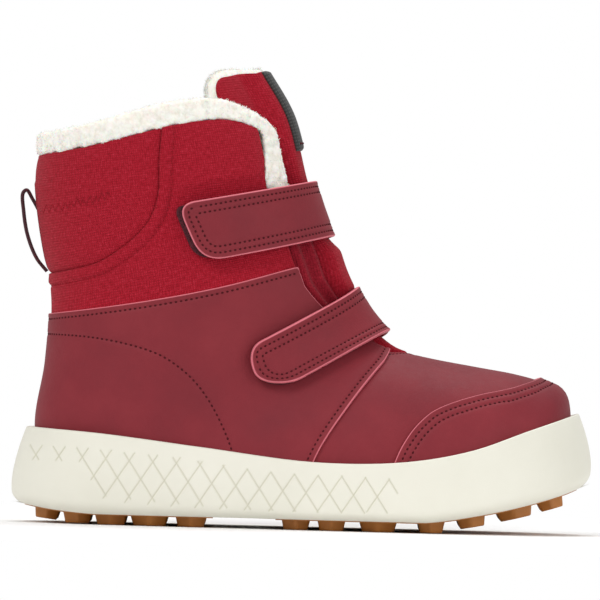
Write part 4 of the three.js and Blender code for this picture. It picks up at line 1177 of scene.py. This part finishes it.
tongue_face_piece = tongue_layer("tongue_textile", math.radians(53.5), 8.0, 0.05, 0.0, 1.2, 0.0,
                                 textile)
bending(tongue_face_piece, ("boot", "tongue"), *TONGUE_BEND, "textile", "tongue_upper",
        "tongue_base")

backing = tongue_layer("tongue_pile", math.radians(62), 14.0, 0.0, 1.25, 3.9, 0.7, fleece)
bending(backing, ("boot", "tongue"), *TONGUE_BEND, "fleece", "tongue_fleece_upper",
        "tongue_fleece_base")


def open_pile(points, normals):
    """Where the tongue's pile shows: beyond its textile and on the side towards the leg."""
    return (points[:, 2] > 134) & (turned_outward(points, normals, 55) < 0.2)


backing_ends = fibres("tongue_pile_ends", backing, 4200, 1.4, open_pile, 12)
seated(backing_ends, "tongue", "fleece")


def pleats(letter):
    """The soft textile beside the tongue, gathered into two upright folds."""
    side = side_letters[letter]
    rows, columns = 60, 40
    grid = np.meshgrid(np.linspace(2.4, 9.4, rows), np.linspace(0, 1, columns), indexing="ij")
    at, share = (values.ravel() for values in grid)
    near = opening(at) * LINING_SHARE - math.radians(7)
    angle = side * (near + share * (opening(at) + math.radians(2) - near))
    fold = 1.0 * np.sin(share * 4 * math.pi - 0.9) * swelling(share, 0.0, 0.12, 0.85, 1.0)
    outer = -0.3 + 0.5 * share + fold * swelling(at, 2.6, 4.0, 6.4, 8.0)
    triangles = grid_triangles(rows, columns)
    if side < 0:
        triangles = triangles[:, ::-1]
    away = np.minimum(share, 1 - share) * 12
    blank = Blank(triangles, at=at, angle=angle, edge=away)
    piece = cut_out(f"gusset_pleats_{letter}", blank, outer, outer - 0.5, shaded_textile)
    seated(piece, "boot", "textile", f"gusset_{letter}")


pleats("lateral")
pleats("medial")


def grid_piece(name, at, angle, outer, inner, material):
    """A closed piece over a grid of sections and angles."""
    rows, columns = at.shape
    triangles = grid_triangles(rows, columns)
    row, column = np.indices(at.shape)
    edge = np.minimum.reduce([row, rows - 1 - row, column, columns - 1 - column]).astype(float)
    blank = Blank(triangles, at=at.ravel(), angle=angle.ravel(), edge=edge.ravel())
    return cut_out(name, blank, outer.ravel(), inner.ravel(), material)


TAB_THICK = 1.5


def tongue_tab():
    """The webbing tab folded over the top of the tongue and sewn down at its lower end."""
    half = math.asin(7 / 33)
    at, angle = np.meshgrid(np.linspace(0.02, 1.62, 46), np.linspace(-half, half, 22),
                            indexing="ij")
    across = np.abs(angle) / half
    thick = TAB_THICK - 0.7 * across**8 - 0.8 * (1 - smoothstep(at, 0.02, 0.1))
    ends = swelling(at, 0.02, 0.05, 1.57, 1.62)
    under = tongue_face(at, angle)
    piece = grid_piece("tongue_tab_tape", at, angle, under + thick * (0.35 + 0.65 * ends),
                       under + UNDERLAP, tab_tape)
    seated(piece, "tongue", "tab_webbing", "tongue_pull_tab")
    run = np.linspace(-half * 0.82, half * 0.82, 24)
    place = np.full(24, 1.5)
    row = (on_last(place, run, tongue_face(place, run) + TAB_THICK), last_normal(place, run))
    seated(stitches("tongue_tab_stitching", [row], thread), "tongue", "tab_webbing")


tongue_tab()


# ---- Straps --------------------------------------------------------------------------------------
STRAPS = {  # high and low: the radii of the tip's corners. peek: where the looped patch begins
    "upper": {"at": UPPER_STRAP_AT, "reach": 45.0, "base": PANEL_FACE, "high": 5.0, "low": 9.0,
              "peek": -1.5, "patch_end": 37.0},
    "lower": {"at": LOWER_STRAP_AT, "reach": 43.4, "base": OVERLAY_FACE, "high": 4.5, "low": 9.0,
              "peek": 0.8, "patch_end": 40.0},
}
STRAP_THICK, TIP_SLANT = 1.75, 4.2
ANCHOR = math.radians(82.5)
HINGE_LINES = {  # where a strap begins and ends its bend, in metres
    "upper": ((-0.0185, 0.0312, 0.1048), (-0.0185, 0.0262, 0.1048)),
    "lower": ((-0.0076, 0.0298, 0.0571), (-0.0076, 0.0248, 0.0571)),
}


def strap_inner(strap, angle):
    share = smoothstep(-angle, math.radians(-20), math.radians(24))
    return strap["base"] + 0.45 + share * 2.2


def strap_run(strap):
    """Angles along a strap's middle and the distance of each from its tip."""
    tip = -angle_back(strap["at"], strap["reach"])
    angles = np.linspace(tip - 0.25, ANCHOR, 900)
    middle = on_last(strap["at"], angles, strap["base"] + 1.2)
    travel = np.concatenate([[0], np.cumsum(np.linalg.norm(np.diff(middle, axis=0), axis=1))])
    return angles, travel - np.interp(tip, angles, travel)


def rounded_outline(corners, radii):
    """A closed outline with its corners rounded."""
    corners = np.asarray(corners, float)
    run = []
    for k, radius in enumerate(radii):
        before, here, after = corners[k - 1], corners[k], corners[(k + 1) % len(corners)]
        if radius <= 0:
            run.append(here)
            continue
        a, b = before - here, after - here
        a, b = a / np.linalg.norm(a), b / np.linalg.norm(b)
        reach = radius / math.tan(math.acos(np.clip(a @ b, -1, 1)) / 2)
        for t in np.linspace(0, 1, 12):
            p, q = here + a * reach * (1 - t), here + b * reach * t
            run.append(p * (1 - t) + q * t)
    return np.array(run)


def strap_blank(strap, outline, step=0.75):
    """A blank along a strap, flat distances u from the tip and v across it, cut to an outline."""
    low, high = outline.min(0) - 1, outline.max(0) + 1
    angles, travel = strap_run(strap)
    high[0] = min(high[0], travel[-1])
    u = np.linspace(low[0], high[0], int((high[0] - low[0]) / step))
    v = np.linspace(low[1], high[1], int((high[1] - low[1]) / step))
    v, u = (g.ravel() for g in np.meshgrid(v, u, indexing="ij"))
    angle = np.interp(u, travel, angles)
    at = strap["at"] + v / along_rate(strap["at"], angle, REACH)
    rows = len(np.unique(v))
    edge = signed_distance(np.column_stack([u, v]), outline)
    return Blank(grid_triangles(rows, len(v) // rows), at=at, angle=angle, edge=edge, u=u, v=v)


def strap(letter):
    belt = STRAPS[letter]
    top = -STRAP_HALF
    length = strap_run(belt)[1][-1] - 0.2
    outline = rounded_outline([[0, top], [TIP_SLANT, -top], [length, -top], [length, top]],
                              [belt["high"], belt["low"], 0, 0])
    blank = strap_blank(belt, outline)
    blank.keep("edge")
    blank.score("edge", *CUT_RINGS)
    blank.score("edge", *beside(SEAM_INSET, 0.45), *beside(SECOND_SEAM, 0.45))
    inner = strap_inner(belt, blank["angle"])
    wave = 0.25 * np.sin(blank["u"] / 9.0) * np.cos(blank["v"] / 7.0)
    outer = (inner + STRAP_THICK - round_off(blank["edge"], 0.5)
             + wave * smoothstep(blank["edge"], 2, 6)
             - groove(blank["edge"], SEAM_INSET) - groove(blank["edge"], SECOND_SEAM))
    piece = cut_out(f"{letter}_strap_leather", blank, outer, inner + 0.02, leather, rim=0.65)
    bodies = ("boot", f"{letter}_strap")
    nodes = (f"{letter}_strap", f"{letter}_strap_anchor")
    bending(piece, bodies, *HINGE_LINES[letter], "leather", *nodes)
    rows = [row for level in (SEAM_INSET, SECOND_SEAM)
            for row in stitch_rows(blank, "edge", level, outer)]
    sewn = stitches(f"{letter}_strap_stitching", rows, thread, pitch=1.75, length=1.0)
    bending(sewn, bodies, *HINGE_LINES[letter], "leather")


def fastening(letter):
    """The hooked patch under a strap's tip and the looped patch that it presses on."""
    belt = STRAPS[letter]
    half = STRAP_HALF
    for kind, start, end, wide, radii, low, high, face in (
        ("hook", 2.5, 32.5, half - 2.5, (1.8, belt["low"] - 2.5, 1, 1), 1.5, 2.4, hook_face),
        ("pile", belt["peek"], belt["patch_end"], half - 0.9, (3.0, 7.0, 2, 2), 0.02, 1.3,
         loop_pile),
    ):
        slant = 0.2 * 2 * wide
        outline = rounded_outline([[start, -wide], [start + slant, wide], [end, wide],
                                   [end, -wide]],
                                  radii)
        blank = strap_blank(belt, outline, 0.6)
        blank.keep("edge")
        blank.score("edge", 0.3)
        p = on_last(blank["at"], blank["angle"], 0.0)
        rough = np.array([noise.noise(Vector(q / 0.8)) for q in p])
        if kind == "hook":
            rough = 0.6 * np.sin(blank["u"] * 4.2) * np.sin(blank["v"] * 4.2)
        drop = round_off(blank["edge"], 0.5)
        if kind == "hook":
            outer = np.full(len(p), belt["base"] + high)
            inner = belt["base"] + low - 0.12 * rough
        else:
            outer = belt["base"] + high - drop + 0.22 * rough
            inner = np.full(len(p), belt["base"] + low)
        piece = cut_out(f"{letter}_{kind}_face", blank, outer, inner, face)
        body = f"{letter}_strap" if kind == "hook" else "boot"
        seated(piece, body, "hook_tape" if kind == "hook" else "loop_pile",
               f"{letter}_{kind}_patch")


for letter in STRAPS:
    strap(letter)
    fastening(letter)


# ---- Sole unit -----------------------------------------------------------------------------------
OUTLINE = np.array([
    [-100, 0], [-97, -13.5], [-88, -26], [-72, -33.4], [-48, -36], [-18, -37], [10, -39.4],
    [32, -41], [54, -39.4],
    [74, -32.6], [89, -22], [97.7, -7.5], [100, 6], [97.2, 19], [87.4, 31.2], [70, 39.4], [50, 41],
    [30, 39.4],
    [6, 37], [-20, 35.2], [-48, 34.6], [-72, 32.6], [-88, 25.6], [-97, 13],
])


def outline_points(count):
    """Points round the sole and the outward direction at each."""
    flat = np.column_stack([OUTLINE, np.zeros(len(OUTLINE))])
    share = np.arange(count) / count
    run = curve_through(flat, share, closed=True)[:, :2]
    ahead, astern = (curve_through(flat, share + step, closed=True)[:, :2]
                     for step in (1e-4, -1e-4))
    ahead = ahead - astern
    ahead /= np.linalg.norm(ahead, axis=1, keepdims=True)
    return run, np.column_stack([ahead[:, 1], -ahead[:, 0]])


CROSS_PITCH = 8.1
CROSSES = 30 - CROSS_PITCH * np.arange(16)
CROSS_HEIGHT = height_line([[-95, 23.3], [-72, 22.9], [-57, 22.1], [-42, 21.8], [-25, 21],
                            [-18, 20.3], [-2, 19.1],
                            [14, 18.8], [31, 18.1]])
CROSS_FOOT = height_line([[-92, 12], [-68, 9.2], [-50, 7.8], [-25, 6.7], [5, 6.3], [32, 7]])
ARM_RISE = height_line([[-95, 3.3], [-59, 2.7], [-43, 1.9], [-25, 0.3], [31, 0.2]])


def scored_lines():
    """Side-view segments of the crossed lines moulded in the sole's wall."""
    lines = []
    for x in CROSSES:
        z = float(CROSS_HEIGHT(x))
        rise = float(ARM_RISE(x))
        slope = CROSS_PITCH / 12.3
        foot = float(CROSS_FOOT(x))
        for lean in (-1, 1):
            end_z = foot
            end_x = x + lean * slope * (z - foot)
            if end_x < -68:
                end_z = max(foot, 20.3 - (end_x + 82.4) * 0.78)
                if x < -82:
                    end_z = z - 1.6
                end_z = min(end_z, z - 1.2)
                end_x = x + lean * slope * (z - end_z)
            if end_x > 33:
                end_z = z - (33 - x) / slope
                end_x = 33
            lines.append(((x - lean * slope * rise, z + rise), (end_x, end_z)))
    return np.array(lines)


def cup_sole():
    count = 2200
    run, outward = outline_points(count)
    lip = 1.4 + 3.2 * outward[:, 0] ** 2
    lines = scored_lines()
    rings, scored = [], []

    def ring(inset, height):
        flat = run - outward * np.broadcast_to(inset, count)[:, None]
        return np.column_stack([flat, height(flat[:, 0])])

    def spine(height):
        opposite = (count - np.arange(count)) % count
        middle = (run + run[opposite]) / 2
        return np.column_stack([middle, height(middle[:, 0])])

    rings.append(spine(sole_bottom))
    scored.append(np.zeros(count))
    for share in np.concatenate([np.linspace(0, 0.12, 8)[:-1], np.linspace(0.12, 1, 72)]):
        foot = 3.0 * max(0.0, 1 - share / 0.25) ** 4
        tilt = max(0.0, (share - 0.25) / 0.75) ** 1.55
        height = lambda x: sole_bottom(x) + (SOLE_TOP(x) - sole_bottom(x)) * share
        wall = ring(foot + tilt * lip, height)
        places = wall[:, [0, 2]]
        depth = np.zeros(count)
        if 0.05 < share < 0.97:
            for a, b in lines:
                edge = b - a
                t = np.clip(((places - a) @ edge) / (edge @ edge), 0, 1)
                away = np.linalg.norm(places - a - t[:, None] * edge, axis=1)
                depth = np.maximum(depth, np.exp(-((away / 0.19) ** 2)))
        wall[:, :2] -= outward * (0.3 * depth)[:, None]
        rings.append(wall)
        # The groove depth is kept as the scored mark, which also darkens the rubber's colour there as painted
        # shade.
        scored.append(depth)
    for inset, rise in ((0.25, 0.28), (0.7, 0.42), (1.3, 0.4), (6.5, 0.2)):
        extra = 3.0 * outward[:, 0] ** 2 * (inset > 2)
        rings.append(ring(lip + inset + extra, lambda x: SOLE_TOP(x) + rise))
        scored.append(np.zeros(count))
    rings.append(ring(lip + 6.5 + 3.0 * outward[:, 0] ** 2, lambda x: BOARD_LINE(x) - 1.2))
    scored.append(np.zeros(count))
    rings.append(spine(lambda x: BOARD_LINE(x) - 1.2))
    scored.append(np.zeros(count))
    points = np.vstack(rings)
    faces = []
    for r in range(len(rings) - 1):
        i = np.arange(count)
        n = (i + 1) % count
        here, above = r * count, (r + 1) * count
        faces += np.column_stack([here + i, here + n, above + n, above + i]).tolist()
    piece = build("cup_sole_rubber", points, faces, sole_white, scored=np.concatenate(scored))
    cleaned(piece)
    seated(piece, "boot", "sole_rubber", "cup_sole")


def cleaned(piece, gap=0.002):
    """Joins points that meet and turns the faces outward."""
    shape = bmesh.new()
    shape.from_mesh(piece.data)
    bmesh.ops.remove_doubles(shape, verts=shape.verts, dist=gap * MM)
    bmesh.ops.recalc_face_normals(shape, faces=shape.faces)
    shape.to_mesh(piece.data)
    shape.free()


cup_sole()

HEEL_ROWS = [[-87, 4.4], [-76.5, 5], [-65, 5.6], [-51.8, 6.6], [-37.5, 5.4]]
FOREFOOT_ROWS = [[-1.5, 5], [10.7, 4.9], [26.7, 6.6], [44.9, 4.6], [58.4, 5], [73.2, 6.4],
                 [85.6, 4.6]]
TREAD_INSET, EDGE_LUG_INSET, LUG_CROWDING = 4.4, 5.0, 2.5


def lug(x, y, radius):
    """A six-sided lug with rounded corners, a tapered wall and a dished foot."""
    turns = np.linspace(0, 2 * math.pi, 48, endpoint=False)
    flat = radius * math.cos(math.radians(30))
    hexagon = flat / np.cos(np.mod(turns + math.radians(30), math.radians(60)) - math.radians(30))
    plan = np.minimum(hexagon, radius * 0.965)
    levels = [(0.8, 1.0), (-0.1, 1.0), (-0.35, 0.97), (-2.9, 0.86), (-3.35, 0.83), (-3.58, 0.78),
              (-3.6, 0.7),
              (-3.55, 0.5), (-3.1, 0.42), (-3.05, 0.2)]
    points = [np.column_stack([plan * s * np.cos(turns), plan * s * np.sin(turns), np.full(48, z)])
              for z, s in levels]
    points = np.vstack([*points, [[0, 0, -3.05], [0, 0, 0.8]]])
    slope = float(sole_bottom(x + 4) - sole_bottom(x - 4)) / 8
    tilt = math.atan(slope) if abs(slope) > 0.12 else 0.0
    turned = points.copy()
    turned[:, 0] = points[:, 0] * math.cos(tilt) - points[:, 2] * math.sin(tilt)
    turned[:, 2] = points[:, 0] * math.sin(tilt) + points[:, 2] * math.cos(tilt)
    faces = []
    for r in range(len(levels) - 1):
        for k in range(48):
            n = (k + 1) % 48
            faces.append((r * 48 + k, (r + 1) * 48 + k, (r + 1) * 48 + n, r * 48 + n))
    end = (len(levels) - 1) * 48
    faces += [(end + k, len(points) - 2, end + (k + 1) % 48) for k in range(48)]
    faces += [(k, (k + 1) % 48, len(points) - 1) for k in range(48)]
    return turned + [x, y, float(sole_bottom(x))], faces


def tread(name, span, rows, node):
    run, outward = outline_points(2400)
    inset = run - outward * TREAD_INSET
    low_side = inset[inset[:, 1] < 2][np.argsort(inset[inset[:, 1] < 2][:, 0])]
    high_side = inset[inset[:, 1] >= 2][np.argsort(inset[inset[:, 1] >= 2][:, 0])]
    x = np.linspace(max(span[0], inset[:, 0].min() + 0.4), min(span[1], inset[:, 0].max() - 0.4),
                    120)
    x_grid, share = np.meshgrid(x, np.linspace(0, 1, 16), indexing="ij")
    low = np.interp(x_grid, low_side[:, 0], low_side[:, 1])
    high = np.interp(x_grid, high_side[:, 0], high_side[:, 1])
    y_grid = low + (high - low) * share
    under = sole_bottom(x_grid) - 0.35
    sheet = [np.column_stack([x_grid.ravel(), y_grid.ravel(), z.ravel()])
             for z in (under + 1.9, under)]
    triangles = grid_triangles(120, 16)
    count = 120 * 16
    plate = Blank(triangles, at=np.zeros(count))
    border = plate.border()
    faces = [*map(tuple, triangles.tolist()), *map(tuple, (triangles[:, ::-1] + count).tolist())]
    faces += [(b, a, a + count, b + count) for a, b in border.tolist()]
    points = [np.vstack(sheet)]
    total = 2 * count
    for along, size in rows:
        radius = size / math.cos(math.radians(30))
        near = run[np.abs(run[:, 0] - along) <= radius]
        ends = [near[near[:, 1] < 2][:, 1].max() + radius + EDGE_LUG_INSET,
                near[near[:, 1] >= 2][:, 1].min() - radius - EDGE_LUG_INSET]
        inner = max(1, int((ends[1] - ends[0]) / (LUG_CROWDING * radius)))
        for k in range(inner + 1):
            made, sides = lug(along, ends[0] + (ends[1] - ends[0]) * k / inner, radius)
            points.append(made)
            faces += [tuple(i + total for i in side) for side in sides]
            total += len(made)
    piece = build(name, np.vstack(points), faces, gum)
    cleaned(piece)
    crease(piece)
    seated(piece, "boot", "gum_rubber", node)


def crease(piece, degrees=38):
    """Keeps moulded corners crisp where faces turn sharply."""
    sharp = bmesh.new()
    sharp.from_mesh(piece.data)
    for edge in sharp.edges:
        edge.smooth = len(edge.link_faces) != 2 or edge.calc_face_angle() < math.radians(degrees)
    sharp.to_mesh(piece.data)
    sharp.free()


tread("heel_tread_gum", (-96, -30), HEEL_ROWS, "heel_tread")
tread("forefoot_tread_gum", (-8.5, 97), FOREFOOT_ROWS, "forefoot_tread")


# ---- Pull loop -----------------------------------------------------------------------------------
def pull_loop():
    """A webbing loop folded flat at its two sewn ends."""
    heights = np.linspace(0, 9, 500)
    back = on_last(heights, math.pi, PANEL_FACE + 1.0)
    place = lambda z: np.array([np.interp(-z, -back[:, 2], back[:, 0]), z])
    top, low = place(107.0), place(86.4)
    down = low - top
    out = np.array([down[1], -down[0]]) / np.linalg.norm(down)
    line = [(-0.22, 1.8), (-0.38, 3.4), (-0.34, 4.8), (-0.04, 5.4), (0.36, 5.1), (0.76, 3)]
    path = [top, *(top + down * share + out * away for share, away in line), low]
    steps = 90
    flat = np.column_stack([np.array(path)[:, 0], np.zeros(len(path)), np.array(path)[:, 1]])
    share = np.linspace(0, 1, steps)
    middle = curve_through(flat, share)
    ahead = np.gradient(middle, axis=0)
    ahead /= np.linalg.norm(ahead, axis=1, keepdims=True)
    normal = np.column_stack([ahead[:, 2], np.zeros(steps), -ahead[:, 0]])
    away = np.abs((middle[:, [0, 2]] - top) @ out)
    half = (1.8 + (8 - 1.8) * smoothstep(away, 0.4, 4)) / 2
    turns = 20
    points, cloth = [], []
    travel = np.concatenate([[0], np.cumsum(np.linalg.norm(np.diff(middle, axis=0), axis=1))])
    for k in range(turns):
        turn = 2 * math.pi * k / turns
        c, s = math.cos(turn), math.sin(turn)
        wide = np.sign(c) * abs(c) ** 0.35 * half
        thick = np.sign(s) * abs(s) ** 0.6 * 0.62
        points.append(middle + normal * thick
                      + np.column_stack([np.zeros(steps), wide, np.zeros(steps)]))
        cloth.append(np.column_stack([wide, travel]))
    points = np.stack(points, 1).reshape(-1, 3)
    cloth = np.stack(cloth, 1).reshape(-1, 2)
    faces = []
    for r in range(steps - 1):
        for k in range(turns):
            n = (k + 1) % turns
            faces.append((r * turns + k, r * turns + n, (r + 1) * turns + n, (r + 1) * turns + k))
    faces.append(tuple(range(turns))[::-1])
    faces.append(tuple((steps - 1) * turns + k for k in range(turns)))
    piece = build("pull_loop_tape", points, faces, loop_tape, cloth=cloth)
    cleaned(piece, gap=0.0001)
    seated(piece, "heel_loop", "pull_webbing", "heel_pull_loop")


pull_loop()

# ---- Inner CAD pieces that keep their shape --------------------------------------------------------
for node, material in {"sole_filler": foam, "shaft_foam": foam, "insole_board": board,
                       "toe_puff": board,
                       "heel_counter": board}.items():
    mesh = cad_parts[node].data
    mesh.materials.clear()
    mesh.materials.append(material)


# ---- Floor, light and camera -----------------------------------------------------------------------
def pale_floor():
    """A matt pale table that turns into the white surround well away from the boot."""
    turns, rings = 96, [0, 60, 120, 180, 260, 360, 500, 700]
    points = [(0, 0, -0.05)]
    for radius in rings[1:]:
        points += [(radius * math.cos(turn), radius * math.sin(turn), -0.05)
                   for turn in (2 * math.pi * k / turns for k in range(turns))]
    faces = [(0, 1 + k, 1 + (k + 1) % turns) for k in range(turns)]
    for r in range(len(rings) - 2):
        start = 1 + r * turns
        faces += [(start + k, start + turns + k, start + turns + (k + 1) % turns,
                   start + (k + 1) % turns)
                  for k in range(turns)]
    material, tree, shader, place = finish("matt_white_table")
    far = add(tree, "VectorMath", {0: place}, operation="LENGTH").outputs["Value"]
    fade = add(tree, "MapRange", {"Value": far, "From Min": 0.13, "From Max": 0.34},
               interpolation_type="SMOOTHSTEP")
    grain = add(tree, "TexNoise", {"Vector": place, "Scale": 90.0})
    paint = add(tree, "ValToRGB", {"Fac": grain.outputs["Fac"]},
                stops=[(0.2, "#F6F6F5"), (0.8, "#FAFAFA")])
    wire(tree, shader, paint.outputs["Color"])
    shader.inputs["Roughness"].default_value = 0.8
    shader.inputs["Specular IOR Level"].default_value = 0.1
    glow = add(tree, "Emission", {"Color": (1, 1, 1, 1), "Strength": 1.0})
    both = add(tree, "MixShader",
               {0: fade.outputs["Result"], 1: shader.outputs[0], 2: glow.outputs[0]})
    tree.links.new(both.outputs[0], tree.nodes["Material Output"].inputs["Surface"])
    build("table", points, faces, material)


pale_floor()

world = bpy.data.worlds.new("white_studio")
bpy.context.scene.world = world
world.use_nodes = True
seen = add(world.node_tree, "LightPath").outputs["Is Camera Ray"]
backdrop = world.node_tree.nodes["Background"]
backdrop.inputs["Color"].default_value = (1, 1, 1, 1)
strength = add(world.node_tree, "MapRange", {"Value": seen, "To Min": 0.62, "To Max": 1.0})
world.node_tree.links.new(strength.outputs["Result"], backdrop.inputs["Strength"])


def soft_light(name, place, power, size):
    lamp = bpy.data.lights.new(name, "AREA")
    lamp.shape, lamp.size, lamp.energy = "DISK", size, power
    light = bpy.data.objects.new(name, lamp)
    light.location = place
    light.rotation_euler = (Vector((0, 0, 0.07))
                            - Vector(place)).to_track_quat("-Z", "Y").to_euler()
    light.visible_camera = False
    bpy.context.scene.collection.objects.link(light)


soft_light("key", (-0.9, -1.3, 1.5), 15.0, 0.9)
soft_light("fill", (1.3, -1.2, 0.7), 6.0, 1.1)
soft_light("top", (0.1, 0.5, 1.8), 12.0, 1.0)

CAMERA_AWAY = 4.0
VIEW_WIDTH = 0.20725  # at the boot's middle
ROLL = math.radians(1.5)
lens = bpy.data.cameras.new("side_view")
lens.lens = lens.sensor_width * CAMERA_AWAY / VIEW_WIDTH
lens.clip_start, lens.clip_end = 0.5, 20.0
camera = bpy.data.objects.new("side_view", lens)
right = Vector((math.cos(ROLL), 0, math.sin(ROLL)))
up = Vector((-math.sin(ROLL), 0, math.cos(ROLL)))
turn = Matrix((right, up, Vector((0, -1, 0)))).transposed().to_4x4()
turn.translation = (-0.00206, -CAMERA_AWAY, 0.0788)
camera.matrix_world = turn
bpy.context.scene.collection.objects.link(camera)
bpy.context.scene.camera = camera
bpy.context.scene.view_settings.view_transform = "Standard"
